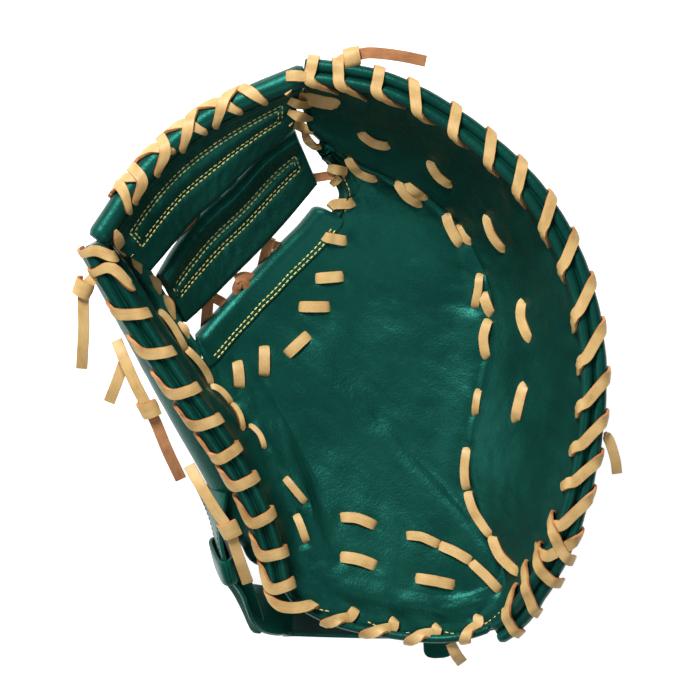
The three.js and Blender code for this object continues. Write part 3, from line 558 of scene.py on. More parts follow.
# Whip stitches of the thumb rim: section and millimetres out from the seat between the rolls, at the
# outer end, in the middle and at the inner end.
THUMB_WHIPS = [
    ((21.95, 8.0), (21.90, 0.5), (21.60, -6.0)), ((21.52, 9.3), (21.46, -2.1), (20.94, -6.5)),
    ((20.82, 8.8), (20.68, 6.0), (20.40, -7.0)), ((20.18, 8.3), (19.92, 5.2), (19.70, -6.8)),
    ((19.54, 8.9), (19.22, 5.6), (19.06, -6.8)), ((18.96, 9.6), (18.66, 6.0), (18.48, -6.8)),
    ((18.42, 9.9), (18.02, 6.0), (17.98, -6.8)), ((17.82, 9.7), (17.52, 5.4), (17.46, -6.8)),
    ((17.26, 9.7), (16.80, 4.6), (16.82, -6.8)), ((16.46, 9.9), (16.08, 5.0), (16.00, -6.8)),
    ((15.86, 9.5), (15.34, 3.8), (15.32, -6.8)), ((15.24, 7.3), (14.94, 3.5), (14.34, -9.0)),
]
# Stitches over the heel piping, from the hole outwards, then section and share of the hole.
HEEL_WHIPS = [
    ((13.60, -9.0), (13.72, -5.0), (13.92, 1.0), 13.50, 0.180), ((12.92, -9.0), (13.04, -4.5),
                                                                 (13.30, 0.6), 12.90, 0.160),
    ((12.34, -8.5), (12.48, -3.6), (12.66, 0.4), 12.30, 0.140), ((11.58, -8.5), (11.70, -3.3),
                                                                 (11.84, 1.4), 11.60, 0.180),
]
# Stitches at the corner between heel and finger rim, over both rolls.
CORNER_WHIPS = [
    ((10.55, -7.0), (10.74, -2.8), (10.84, 4.0), 10.45, 0.130), ((9.94, -7.0), (10.06, -2.9),
                                                                 (10.34, 4.5), 9.88, 0.110),
    ((9.50, -7.0), (9.62, -2.8), (9.70, 4.5), 9.46, 0.070), ((8.98, -7.0), (9.16, -1.7), (9.34, 5.8),
                                                             8.94, 0.060),
]
# Flat stitches of lace in wall and palm: places in plan in millimetres, and the width as a share.
PALM_STITCHES = [
    ([(-6.2, 69.0), (4.2, 71.0)], 0.95),
    ([(-9.5, 54.7), (0.8, 52.7)], 0.95),
    ([(-13.4, 34.9), (-0.6, 35.9)], 1),
    ([(-21.3, 21.5), (-7.1, 21.5)], 1),
    ([(-27.2, -1.3), (-17.0, 8.3)], 1),
    ([(-37.9, 2.7), (-37.9, -11.0)], 1),
    ([(-50.7, -4.4), (-49.6, -16.6)], 1),
    ([(-1.5, -78.2), (5.7, -78.6), (14.7, -82.1)], 0.95),
    ([(-1.8, -96.8), (6.3, -98.0), (14.9, -101.0)], 1.05),
    ([(33.7, -106.8), (42.5, -108.1), (52.1, -110.1)], 0.98),
    ([(29.7, -86.7), (36.6, -87.4), (44.8, -91.0)], 0.85),
    ([(45.2, -91.3), (52.5, -94.3), (59.7, -98.6)], 0.92),
    ([(60.0, -99.2), (66.9, -105.5), (73.6, -112.7)], 0.88),
]
FOLD_STITCHES = [
    ([(1.7, 91.3), (7.4, 85.6), (14.9, 81.9)], 0.85),
    ([(29.4, 79.4), (38.6, 73.3)], 0.8),
    ([(25.0, 80.6), (30.0, 74.3), (36.4, 70.0)], 0.9),
    ([(53.7, 59.6), (59.6, 52.2)], 0.8),
    ([(48.2, 65.1), (51.1, 58.3), (55.2, 50.7)], 0.95),
    ([(65.6, 28.3), (69.5, 18.0)], 0.95),
    ([(64.3, 36.7), (63.8, 30.3), (61.7, 21.0)], 0.75),
    ([(68.3, 15.3), (66.2, 6.9), (67.4, -2.9)], 0.88),
    ([(63.7, -17.9), (62.0, -29.4)], 0.68),
    ([(58.1, -45.2), (57.3, -55.4), (57.9, -64.8)], 0.82),
    ([(58.4, -66.0), (61.7, -75.2), (69.2, -86.7)], 0.85),
    ([(69.9, -87.1), (74.2, -95.6), (81.8, -103.8)], 0.98),
]
WALL_STITCHES = [
    ([(7.7, 103.2), (14.0, 99.2), (20.8, 97.2)], 0.85),
    ([(40.3, 89.8), (44.6, 83.7), (50.2, 78.9)], 0.85),
    ([(67.0, 64.1), (70.4, 55.5), (75.4, 48.2)], 0.85),
    ([(84.2, 24.0), (84.2, 15.9), (87.5, 5.7)], 0.95),
    ([(85.1, -15.3), (83.3, -23.1), (80.9, -32.6)], 1.0),
]
THUMB_STITCHES = [
    ([(-87.4, 19.6), (-80.7, 11.9), (-74.6, 0.2)], 0.62),
    ([(-74.6, 1.7), (-68.5, -4.4), (-62.9, -15.6)], 0.66),
    ([(-62.9, -16.1), (-58.4, -19.2), (-53.7, -24.4)], 0.6),
    ([(-53.2, -24.4), (-50.1, -30.3), (-48.0, -36.6)], 0.5),
    ([(-44.7, -34.7), (-40.5, -39.3), (-37.8, -45.3)], 0.5),
    ([(-27.9, -59.6), (-23.7, -64.5), (-18.3, -71.0)], 0.7),
    ([(-22.8, -77.0), (-20.1, -82.5), (-17.7, -89.7)], 0.74),
]
FLAT_STITCHES = PALM_STITCHES + FOLD_STITCHES + WALL_STITCHES + THUMB_STITCHES
print("flat stitches:", len(FLAT_STITCHES))

# %% Pocket leather
PALM_RINGS, PALM_COLUMNS = 352, 80
palm_rows = [-0.24, -0.18, -0.12, -0.06] + steps(0, LAST_SECTION, PALM_RINGS)
palm_shares = steps(0, 1, PALM_COLUMNS)
bm = new_sheet()
palm_rings = []
for row in palm_rows:
    line = palm_line(row)
    ring = [line(share) for share in palm_shares]
    if row < 0:
        beyond = palm_line(-row)
        ring = [point + (point - beyond(share)) * ease(0.08, 0.25, share) * (1 - ease(0.70, 0.85, share))
                for point, share in zip(ring, palm_shares)]
    palm_rings.append(ring)
palm_spots = skin(bm, palm_rings, closed=False, size=(0.16, 0.7))
# Rows crowd where the thumb meets the heel and at the corner by the web, so the grid is smoothed there.
crowded = [v for v, ring, col in palm_spots
           if (13.6 < palm_rows[ring] < 17.2 and 0.54 < palm_shares[col] < 0.93)
           or (0 < palm_rows[ring] < 1.2 and 0.7 < palm_shares[col] < 0.98)]
for turn in range(40):
    bmesh.ops.smooth_vert(bm, verts=crowded, factor=0.5, use_axis_x=True, use_axis_y=True, use_axis_z=True)
bmesh.ops.recalc_face_normals(bm, faces=bm.faces)
if sum(f.normal.z for f in bm.faces) < 0:
    bmesh.ops.reverse_faces(bm, faces=bm.faces)
bm.normal_update()


def dents(points, centres, depth, reach):
    """How far each point is pressed in by dents of a depth and reach, all seen in plan, in metres."""
    points, centres = np.array(points), np.array(centres)
    gap = ((points[:, None, :] - centres[None, :, :]) ** 2).sum(2)
    return -depth * np.exp(-gap / reach ** 2).max(1)


points = [tuple(v.co.xy) for v, ring, col in palm_spots]
hole_places = [(row, share) for a, b, row, share, width in FINGER_WHIPS]
hole_places += [(row, share) for a, b, c, row, share in HEEL_WHIPS + CORNER_WHIPS]
holes = [tuple(palm_face(*pair)[0].xy) for pair in hole_places]
ends = [(x * MM, y * MM) for places, width in FLAT_STITCHES for x, y in (places[0], places[-1])]
push = dents(points, holes, 1.3 * MM, 4.0 * MM) + dents(points, ends, 1.0 * MM, 2.6 * MM)
for (v, ring, col), pressed in zip(palm_spots, push):
    row, share = palm_rows[ring], palm_shares[col]
    on_wall = ease(0.0, 0.08, share) * ease(0.0, 0.06, 1 - share)
    crease = -1.3 * math.exp(-((share - 0.5) / 0.014) ** 2) * ease(0.2, 1.5, row) * ease(0.2, 2, 13 - row)
    crease += 0.7 * math.exp(-((share - 0.55) / 0.035) ** 2) * ease(0.2, 1.5, row) * ease(0.2, 2, 13 - row)
    soft = 0.9 * noise.fractal(v.co * 38, 0.9, 2.0, 3) * on_wall
    fine = 0.22 * noise.fractal(v.co * 210, 0.8, 2.0, 3) * on_wall
    heel = 1.8 * math.exp(-((row - 13.2) / 1.3) ** 2 - ((share - 0.36) / 0.13) ** 2)
    v.co += v.normal * (pressed + (crease + soft + fine + heel) * MM)
palm_leather = finish_piece("palm_leather", bm, (green,), ("palm_shell",), sheet=True,
                            carries=True)


def thickened(piece, thickness, rim_share, shares):
    """Gives a sheet its thickness, thinner where shares are small."""
    padding = piece.vertex_groups.new(name="padding")
    for i, share in enumerate(shares):
        padding.add([i], min(rim_share + (1 - rim_share) * share / 0.35, 1.0), "REPLACE")
    wall = piece.modifiers.new("thickness", "SOLIDIFY")
    wall.thickness = thickness
    wall.offset = -1
    wall.vertex_group = "padding"
    wall.use_rim = True


thickened(palm_leather, 5 * MM, 2.2 / 5, [palm_shares[col] for v, ring, col in palm_spots])

# %% [markdown]
# ## The outer leather
#
# Behind the fingers and the thumb a second skin runs from the rim's outer roll down to the floor and
# back to the web. Its stalls for the fingers show as shallow ribs. It is left open at the heel, where
# the hand goes in.

# %% Outer leather
BACK_RINGS, BACK_COLUMNS = 264, 60
back_rows = steps(0, LAST_SECTION, BACK_RINGS)
back_shares = steps(0, 1, BACK_COLUMNS)
bm = new_sheet()
back_rings = []
for row in back_rows:
    line = back_line(row)
    ring = [line(share) for share in back_shares]
    back_rings.append([Vector((p.x, p.y, max(p.z, 0.0))) for p in ring])
back_spots = skin(bm, back_rings, closed=False, size=(0.16, 0.7))
bm.normal_update()
if sum(v.normal.z for v, ring, col in back_spots if v.co.z < 1 * MM) > 0:
    bmesh.ops.reverse_faces(bm, faces=bm.faces)
    bm.normal_update()
STALL_SEAMS = (3.3, 5.2, 7.1, 9.0)
for v, ring, col in back_spots:
    row, share = back_rows[ring], back_shares[col]
    seam = max(math.exp(-((row - s) / 0.10) ** 2) for s in STALL_SEAMS)
    free = ease(0.03, 0.12, share) * ease(0.0, 0.1, 1 - share)
    clear = ease(0.5 * MM, 8 * MM, v.co.z)
    soft = 0.8 * noise.fractal(v.co * 34, 0.9, 2.0, 3)
    shift = (-1.2 * seam + min(soft, 0.4)) * free * clear
    # The base of the thumb stands out beyond its rolls.
    thumb_base = blend(11.0, 3.0, ease(17.0, 21.0, row)) * ease(14.5, 15.4, row)
    shift += thumb_base * ease(0.02, 0.15, share) * (1 - ease(0.28, 0.48, share))
    v.co += v.normal * shift * MM
    # Below the thumb's base the skin is creased over itself and its wall grows downwards, so it keeps
    # off the floor there.
    creased = v.normal.z > -0.3 or 14.8 < row < 17.5
    v.co.z = max(v.co.z, 2.9 * MM if creased else 0.0)
back_leather = finish_piece("back_leather", bm, (deep_green,), ("back_shell",), sheet=True)
thickened(back_leather, 2.6 * MM, 2.2 / 2.6, [back_shares[col] for v, ring, col in back_spots])

# %% [markdown]
# ## The rolled rim
#
# Two leather rolls run round the fingers and the thumb, and a thin piping round the heel. A roll is a
# skin over round rings. Where a lace pulls round it, the roll is nipped a little.

# %% Rim rolls
FINGER_RIM, HEEL_RIM, THUMB_RIM = (0, 11.2), (11.35, 15.2), (15.35, 22)


def rim_roll(name, rim, offset, drop, radius, nips, node_name):
    bm = new_sheet()
    rings = []
    for row in steps(*rim, round((rim[1] - rim[0]) * 16)):
        point, along, out, top = rim_at(row)
        nip = max([math.exp(-((row - n) / 0.10) ** 2) for n in nips] or [0])
        swell = 0.10 * MM * noise.noise(Vector((row * 1.7, offset * 900, 0)))
        near_end = min(ease(0, 0.06, row - rim[0]), ease(0, 0.06, rim[1] - row))
        size = (radius * (1 - 0.09 * nip) + swell) * (0.7 + 0.3 * near_end)
        rings.append(round_ring(point + out * offset - top * drop, out, top, size, 20))
    skin(bm, rings, size=(0.02, 0.4))
    return finish_piece(name, bm, (green,), (node_name,), carries=True)


finger_nips = [(a + b) / 2 for a, b, *rest in FINGER_WHIPS] + [b[0] for a, b, *rest in CORNER_WHIPS]
thumb_nips = [middle[0] for start, middle, end in THUMB_WHIPS]
for side, offset in (("inner", -WELT_SPACING / 2), ("outer", WELT_SPACING / 2)):
    rim_roll(f"finger_roll_{side}", FINGER_RIM, offset, 0, WELT_RADIUS, finger_nips, f"finger_welt_{side}")
    rim_roll(f"thumb_roll_{side}", THUMB_RIM, offset, 0, WELT_RADIUS, thumb_nips, f"thumb_welt_{side}")

# Between the two rolls the edges of all the leathers meet and close the valley.
for name, rim in (("finger_rim_core", FINGER_RIM), ("thumb_rim_core", THUMB_RIM)):
    bm = new_sheet()
    rings = []
    for row in steps(*rim, round((rim[1] - rim[0]) * 8)):
        point, along, out, top = rim_at(row)
        rings.append(round_ring(point - top * 3.0 * MM, out, top, 2.2 * MM, 12, flatten=1.5))
    skin(bm, rings, size=(0.02, 0.4))
    finish_piece(name, bm, (deep_green,))
HEEL_DROP = RIM_DROP - 2.0 * MM - 0.6 * MM
rim_roll("heel_piping", HEEL_RIM, -WELT_SPACING / 2, HEEL_DROP, 2.0 * MM, (), "heel_welt")

# %% [markdown]
# ## The rolled palm edge
#
# Below the web the palm ends in a fat padded roll. Its leather comes from a sewn line on the palm,
# swells round the padding and goes under. Up the palm's left edge it runs out into thin piping.

# %% Palm roll
PIPING_START, ROLL_START, ROLL_END = 1.3, 5.05, 18.2


def roll_growth(row):
    """From 0 on the thin piping to 1 on the fat roll, round like the tip of a sausage."""
    left = 1 - min(max((row - ROLL_START) / 0.7, 0.0), 1.0)
    return math.sqrt(1 - left ** 2)


def roll_radius(row):
    return blend(1.4, 5.7, roll_growth(row)) * blend(1.0, 0.7, ease(17.3, ROLL_END, row)) * MM


def roll_ring(row):
    """Closed section: a tongue sewn on the palm, then the leather round the padding."""
    edge, out = edge_at(row)
    radius = roll_radius(row)
    centre = edge + out * (radius + 0.9 * MM) - UP * 2.5 * MM
    line = palm_line(row)
    reach = (line(1.0) - line(0.95)).length / 0.05
    tongue = []
    for back, lift in ((1.0, -0.2), (0.98, 0.9), (0.5, 1.2)):
        share = 1 - back * blend(1.2, 4.2, roll_growth(row)) * MM / reach
        tongue.append(line(share) + UP * lift * MM)
    arc = []
    for degrees in range(118, -183, -20):
        angle = math.radians(degrees)
        arc.append(centre + out * radius * math.cos(angle) + UP * radius * math.sin(angle))
    return tongue + arc


bm = new_sheet()
roll_rows = steps(PIPING_START, ROLL_START, 60) + steps(ROLL_START + 0.02, ROLL_START + 0.7, 24)
roll_rows += steps(ROLL_START + 0.75, ROLL_END, 150)
skin(bm, [roll_ring(row) for row in roll_rows], size=(0.04, 0.25))
palm_roll = finish_piece("palm_roll", bm, (green,), ("crotch_roll",), crease=60, carries=True)

# %% [markdown]
# ## The web
#
# Two stitched leather bars close the gap between fingers and thumb. The top one hangs from a rolled
# edge with lace wrapped round it, the lower one has a padded upper edge. Each bar is a skin over
# closed cross sections, pressed in along its double row of stitching.

# %% Web table
WEB_ROWS = [
    (-0.092, 0.474, 0.931, -0.098, 0.393, 0.755, -0.094, 0.386, 0.637, -0.053, 0.299, 0.451),
    (-0.175, 0.443, 0.912, -0.175, 0.335, 0.716, -0.148, 0.349, 0.598, -0.109, 0.238, 0.422),
    (-0.256, 0.407, 0.892, -0.237, 0.280, 0.696, -0.212, 0.284, 0.569, -0.165, 0.183, 0.402),
    (-0.333, 0.354, 0.892, -0.288, 0.239, 0.696, -0.269, 0.236, 0.559, -0.220, 0.133, 0.402),
    (-0.391, 0.297, 0.902, -0.325, 0.200, 0.706, -0.314, 0.186, 0.578, -0.265, 0.092, 0.422),
    (-0.445, 0.225, 0.922, -0.370, 0.152, 0.735, -0.348, 0.138, 0.608, -0.303, 0.060, 0.471),
]
LAST_WEB_ROW = len(WEB_ROWS) - 1
roll_middle, low_line, high_line, hem_line = [
    curve_through([place(*row[3 * i:3 * i + 3]) for row in WEB_ROWS]) for i in range(4)]
WEB_ROLL_RADIUS = 5.6 * MM
ROLL_FIRST, ROLL_LAST = -0.22, LAST_WEB_ROW + 0.35


def roll_line(row):
    """The middle of the top roll, which runs on past the bars to the finger rim and the thumb rim."""
    inside = min(max(row, 0.0), LAST_WEB_ROW)
    step = 0.1 if row < 1 else -0.1
    past = (roll_middle(inside) - roll_middle(inside + step)) / 0.1
    return roll_middle(inside) + past * abs(row - inside)


def web_roll_at(row):
    along = (roll_line(row + 0.1) - roll_line(row - 0.1)).normalized()
    out = along.cross(UP).normalized()
    return roll_line(row), along, out, out.cross(along)


def bar_edges(bar, row):
    if bar == "top":
        roll, low = roll_line(row), low_line(row)
        down = (low - roll).normalized()
        return roll + down * 4.0 * MM, low + down * 1.5 * MM
    swing = 1.0 + 1.6 * math.sin(math.pi * row / LAST_WEB_ROW)
    return high_line(row) + (high_line(row) - hem_line(row)).normalized() * swing * MM, hem_line(row)


def bar_face(bar, row, share):
    """A point in the middle of a bar's leather and the way that its upper face looks."""
    high, low = bar_edges(bar, row)
    along = bar_edges(bar, row + 0.2)[0] - bar_edges(bar, row - 0.2)[0]
    face = (low - high).cross(along).normalized()
    return blend(high, low, share), face if face.z > 0 else -face


# %% Bars and their sewn boxes
# Box of double stitching on each bar: rows at its ends, then shares of the bar's height.
BOXES = {"top": (0.30, 4.78, 0.26, 0.60), "lower": (0.25, 4.85, 0.34, 0.58)}
HALF_THICKNESS = {
    "top": [(0.0, 4.6), (0.10, 3.2), (0.22, 2.0), (0.5, 1.8), (0.94, 1.8), (1.0, 1.2)],
    "lower": [(0.0, 1.5), (0.03, 3.4), (0.10, 4.5), (0.17, 4.3), (0.24, 2.6), (0.30, 2.0), (0.94, 2.0),
              (1.0, 1.3)],
}


def half_thickness(bar, share):
    table = HALF_THICKNESS[bar]
    for (a, low), (b, high) in zip(table, table[1:]):
        if share <= b:
            return blend(low, high, ease(a, b, share)) * MM
    return table[-1][1] * MM


LINE_GAP = 2.0 * MM


def line_gap(bar, row):
    """The distance between two rows of thread, as a share of the bar's height."""
    high, low = bar_edges(bar, row)
    return LINE_GAP / (low - high).length


def bar_top(bar, row, share):
    """The upper face of a bar, with the groove of its stitching, and its normal."""
    middle, face = bar_face(bar, row, share)
    start, end, high, low = BOXES[bar]
    gap = line_gap(bar, row)
    inside = ease(start - 0.12, start, row) * ease(start - 0.12, start, start + end - row)
    lines = (high + gap / 2, low - gap / 2)
    groove = max(math.exp(-((share - s) / 0.055) ** 2) for s in lines) * inside
    puff = 0.5 * math.exp(-((share - (high + low) / 2) / 0.10) ** 2) * inside
    ripple = 0.25 * noise.noise(Vector((row * 5, share * 6, 3 if bar == "top" else 8)))
    return middle + face * (half_thickness(bar, share) + (puff + ripple - 0.55 * groove) * MM), face


def web_bar(bar, name, node_name):
    bm = new_sheet()
    shares = [0.0, 0.01] + steps(0.03, 0.97, 44) + [0.99, 1.0]
    rings = []
    first, last = (-0.12, LAST_WEB_ROW + 0.3) if bar == "top" else (-0.05, LAST_WEB_ROW + 0.1)
    for row in steps(first, last, 130):
        upper = [bar_top(bar, row, share)[0] for share in shares]
        under = []
        for share in reversed(shares):
            middle, face = bar_face(bar, row, share)
            under.append(middle - face * half_thickness(bar, share))
        rings.append(upper + under)
    skin(bm, rings, size=(0.08, 0.2))
    return finish_piece(name, bm, (green,), (node_name,), carries=True)


web_bar("top", "top_bar", "web_top_bar")
web_bar("lower", "lower_bar", "web_lower_bar")

bm = new_sheet()
rings = []
for row in steps(ROLL_FIRST, ROLL_LAST, 130):
    point, along, out, top = web_roll_at(row)
    end = min(ease(-0.02, 0.12, row - ROLL_FIRST), ease(-0.02, 0.12, ROLL_LAST - row))
    rings.append(round_ring(point, out, top, WEB_ROLL_RADIUS * (0.75 + 0.25 * end), 28))
skin(bm, rings, size=(0.035, 0.22))
finish_piece("top_roll", bm, (green,), ("web_top_roll",), carries=True)

# %% [markdown]
# ## Whip lacing
#
# One long rawhide lace whips round both rim rolls and dives through a hole in the wall at each turn.
# It could be one endless curve, but each turn of a real one lies differently. So every stitch is a
# strap of its own, through the places where the lace was pulled tight over the rolls.

# %% Where a lace lies on the rolls
ROLL_SIDE = WELT_SPACING / 2 / MM
WHIP_HEIGHT = WELT_RADIUS / MM + 0.9
WHIP_REACH = ROLL_SIDE + WHIP_HEIGHT
ROW_LENGTH = 28.0


def over_rolls(row, out, lift=0.0):
    """The seat of a lace over both rolls, a way out from the line between them in millimetres."""
    past = min(max(abs(out) - ROLL_SIDE, 0.0) / WHIP_HEIGHT, 1.0)
    rise = math.sqrt(1 - past ** 2)
    sag = 0.35 * max(1 - abs(out) / ROLL_SIDE, 0.0)
    point, along, way_out, way_top = rim_at(row)
    face = way_out * math.copysign(past, out) + way_top * rise
    return near_rim(row, out, WHIP_HEIGHT * rise - sag) + face * lift * MM, face


def whip_seats(spots, count=8, lift=0.0):
    """Seats of one stitch along measured spots, each a section and millimetres out."""
    line = curve_through([Vector((row * ROW_LENGTH, min(max(out, -WHIP_REACH), WHIP_REACH), 0)) for row,
                          out in spots])
    seats = [line(part) for part in steps(0, len(spots) - 1, count)]
    return [over_rolls(seat.x / ROW_LENGTH, min(max(seat.y, -WHIP_REACH), WHIP_REACH),
                       lift) for seat in seats]


def down_flank(row, side):
    """Two seats where a lace dives beside the outer roll, side 1, or the inner roll, side -1."""
    point, along, way_out, way_top = rim_at(row)
    first = near_rim(row, side * (WHIP_REACH - 0.1), -1.7)
    second = near_rim(row, side * (ROLL_SIDE + 1.4), -5.6)
    return [(first, way_out * side), (second, (way_out * side - way_top * 0.5).normalized())]


# %% Whips of the finger rim
bm = new_sheet()
for outer, inner, hole_row, hole_share, tip in FINGER_WHIPS:
    flank = down_flank(outer - 0.03, 1)[::-1]
    hole, hole_face = palm_face(hole_row, hole_share, -0.8)
    rim, along, way_out, way_top = rim_at(hole_row)
    hole_out = min((hole - rim).dot(way_out) / MM, -WHIP_REACH)
    spots = [(outer, WHIP_REACH), (blend(outer, inner, 0.55), 1.0), (inner - 0.01, -3.4),
             (blend(inner, hole_row, 0.16), -5.6), (blend(inner, hole_row, 0.42), -6.8)]
    seats = whip_seats(spots, count=14)
    near = near_rim(blend(inner, hole_row, 0.72), blend(-WHIP_REACH, hole_out, 0.4), -2.0)
    slide = [(near, (way_top * 0.8 - way_out).normalized()), (hole, hole_face)]
    taper = [blend(1.0, blend(1.0, tip, 0.45), ease(8, 15, i)) for i in range(len(seats))]
    shares = [0.8, 0.95] + taper + [blend(1.0, tip, 0.75), tip * 0.5]
    places = flank + seats + slide
    strap(bm, [(*spot, share, blend(0.8, 1.0, share)) for spot, share in zip(places, shares)], fine=3)
finish_piece("finger_whip_lace", bm, LACE, ("finger_lace",), crease=35, carries=True)

# %% Whips of the thumb rim
bm = new_sheet()
for start, middle, end in THUMB_WHIPS:
    seats = whip_seats([start, middle, end], count=9)
    places = down_flank(start[0] + 0.04, 1)[::-1] + seats + down_flank(end[0] - 0.02, -1)
    shares = [0.5, 0.6] + [blend(0.68, 1.0, ease(0, 5, i)) for i in range(len(seats))] + [1.0, 0.9]
    strap(bm, [(*spot, share, 1.0) for spot, share in zip(places, shares)], fine=3)
finish_piece("thumb_whip_lace", bm, LACE, ("thumb_lace",), crease=35, carries=True)

# %% Stitches over the heel piping and round the corner
PIPING_TOP = -HEEL_DROP / MM
PIPING_REACH = 2.0 + 0.95


def over_piping(row, out):
    """The seat of a lace over the heel piping, millimetres out from the rim's line."""
    past = min(max((out + ROLL_SIDE) / PIPING_REACH, -1.0), 1.0)
    rise = math.sqrt(1 - past ** 2)
    point, along, way_out, way_top = rim_at(row)
    return near_rim(row, -ROLL_SIDE + PIPING_REACH * past,
                    PIPING_TOP + PIPING_REACH * rise), way_out * past + way_top * rise


bm = new_sheet()
for start, middle, end, hole_row, hole_share in HEEL_WHIPS:
    rise = [palm_face(hole_row, hole_share, -1.4), palm_face(hole_row + 0.01, hole_share * 0.9, 0.5),
            palm_face(blend(hole_row, start[0], 0.6), hole_share * 0.5, 1.0)]
    over = [over_piping(middle[0], -5.4), over_piping(blend(middle[0], end[0], 0.45), -3.2),
            over_piping(end[0], -0.9)]
    point, along, way_out, way_top = rim_at(end[0])
    fall = [(near_rim(end[0], 0.1, PIPING_TOP - 1.0), way_out),
            (near_rim(end[0], -0.6, PIPING_TOP - 4.5), way_out)]
    shares = [0.7, 0.95, 1.0, 1.0, 1.0, 0.9, 0.75, 0.6]
    strap(bm, [(*spot, share, 1.0) for spot, share in zip(rise + over + fall, shares)], fine=4)
finish_piece("heel_whip_lace", bm, LACE, ("heel_lace_1", "heel_lace_2", "heel_lace_3",
                                                  "heel_lace_4"), crease=35)

bm = new_sheet()
for i, (start, middle, end, hole_row, hole_share) in enumerate(CORNER_WHIPS):
    lift = 1.3 if i >= 2 else 0.0
    seats = whip_seats([start, middle, (end[0], WHIP_REACH)], lift=lift)
    rise = [palm_face(hole_row, hole_share, -1.4), palm_face(hole_row + 0.01, hole_share * 0.92, 0.6)]
    places = rise + seats + down_flank(end[0] + 0.05, 1)
    shares = [0.7, 0.95] + [1.0] * len(seats) + [0.85, 0.6]
    strap(bm, [(*spot, share, 1.0) for spot, share in zip(places, shares)], fine=3)
finish_piece("corner_whip_lace", bm, LACE, crease=35)

# %% [markdown]
# ## Lace round the web's top roll
#
# The lace zigzags along the roll: each turn climbs from the bar over the roll, and comes back down
# beside the next one, crossing under it. Both legs end in a point, because they dive into slits.

# %% Web roll wraps
# Legs that lie on top, then legs that cross under them: web section and millimetres out from the
# roll's middle, at the far side, on the top and at the foot.
UPPER_LEGS = [
    ((1.20, 7.0), (1.54, 2.4), (1.94, -5.0)), ((2.12, 7.0), (2.39, 1.8), (2.78, -5.0)),
    ((2.93, 7.0), (3.03, 0.5), (3.56, -5.0)), ((3.80, 7.0), (3.90, -1.2), (4.34, -5.0)),
    ((4.42, 7.0), (4.26, 4.7), (4.56, -5.2)),
]
LOWER_LEGS = [
    ((1.15, 7.0), (0.96, 2.0), (0.78, -5.0)), ((2.05, 7.0), (1.62, 3.2), (1.34, -4.4)),
    ((2.80, 7.0), (2.44, 3.9), (2.22, -4.6)), ((3.65, 7.0), (3.22, 4.8), (2.96, -2.6)),
    ((4.34, 7.0), (4.10, 5.6), (3.92, 0.0)),
]


def round_web_roll(row, out, lift):
    """The seat of a lace on the web's roll."""
    reach = WEB_ROLL_RADIUS / MM + 0.9
    past = min(max(out / reach, -1.0), 1.0)
    point, along, way_out, way_top = web_roll_at(row)
    face = way_out * past + way_top * math.sqrt(1 - past ** 2)
    return point + face * (reach + lift) * MM, face


def web_leg(bm, spots, lift):
    line = curve_through([Vector((row * 22.0, out, 0)) for row, out in spots])
    seats = []
    for part in steps(0, 2, 9):
        seat = line(part)
        hump = lift * math.exp(-((part - 1.0) / 0.55) ** 2)
        seats.append(round_web_roll(seat.x / 22.0, seat.y, hump))
    point, along, way_out, way_top = web_roll_at(spots[0][0])
    back = [(point + way_out * 4.5 * MM - way_top * 5.0 * MM, way_out - way_top * 0.8),
            (point + way_out * 6.6 * MM - way_top * 1.5 * MM, way_out - way_top * 0.2)]
    point, along, way_out, way_top = web_roll_at(spots[2][0])
    foot = [(seats[-1][0] - way_out * 1.0 * MM - way_top * 3.4 * MM, -way_out + way_top * 0.4)]
    shares = [1.0, 1.0] + [blend(1.0, 0.62, ease(5, 9, i)) for i in range(len(seats))] + [0.25]
    strap(bm, [(*spot, share, 1.0) for spot, share in zip(back + seats + foot, shares)], fine=3)


bm = new_sheet()
for spots in LOWER_LEGS:
    web_leg(bm, spots, 0.0)
for spots in UPPER_LEGS:
    web_leg(bm, spots, 1.7)
finish_piece("web_wrap_lace", bm, LACE, ("web_roll_lace",), crease=35)

# %% [markdown]
# ## Laces that carry the web
#
# Short laces hold the bars on the fingers and on the thumb. Most of each lies hidden between two
# leathers, and only a leaf of it shows. These are laid by their place in plan: a ray dropped from
# above finds the leather, and the lace rests there.

# %% Laying a lace on the leather
def lies_on(x, y, lift=0.0):
    """The leather straight below a place in plan, in millimetres, or below the nearest place that has
    leather, and the way that it faces."""
    for around in (0.0, 1.5, 3.0, 5.0, 8.0, 12.0):
        hits = []
        for turn in steps(0, 2 * math.pi, 12):
            spot = Vector(((x + around * math.cos(turn)) * MM, (y + around * math.sin(turn)) * MM, 0.3))
            hits += [hit for hit in (tree.ray_cast(spot, -UP) for tree in LEATHER) if hit[0]]
            if around == 0.0:
                break
        if hits:
            break
    point, normal, *rest = max(hits, key=lambda hit: hit[0].z)
    normal = normal if normal.z > 0 else -normal
    return Vector((x * MM, y * MM, point.z)) + normal * lift * MM, (normal + UP).normalized()


def laid_lace(bm, places, shares, lift=1.0, sink=1.6):
    """A lace through places in plan, with both its ends tucked into the leather."""
    stops = []
    for i, (x, y) in enumerate(places):
        point, face = lies_on(x, y, lift)
        if i in (0, len(places) - 1):
            point = point - UP * sink * MM
        stops.append((point, face, shares[i], 0.9))
    strap(bm, stops, fine=5)


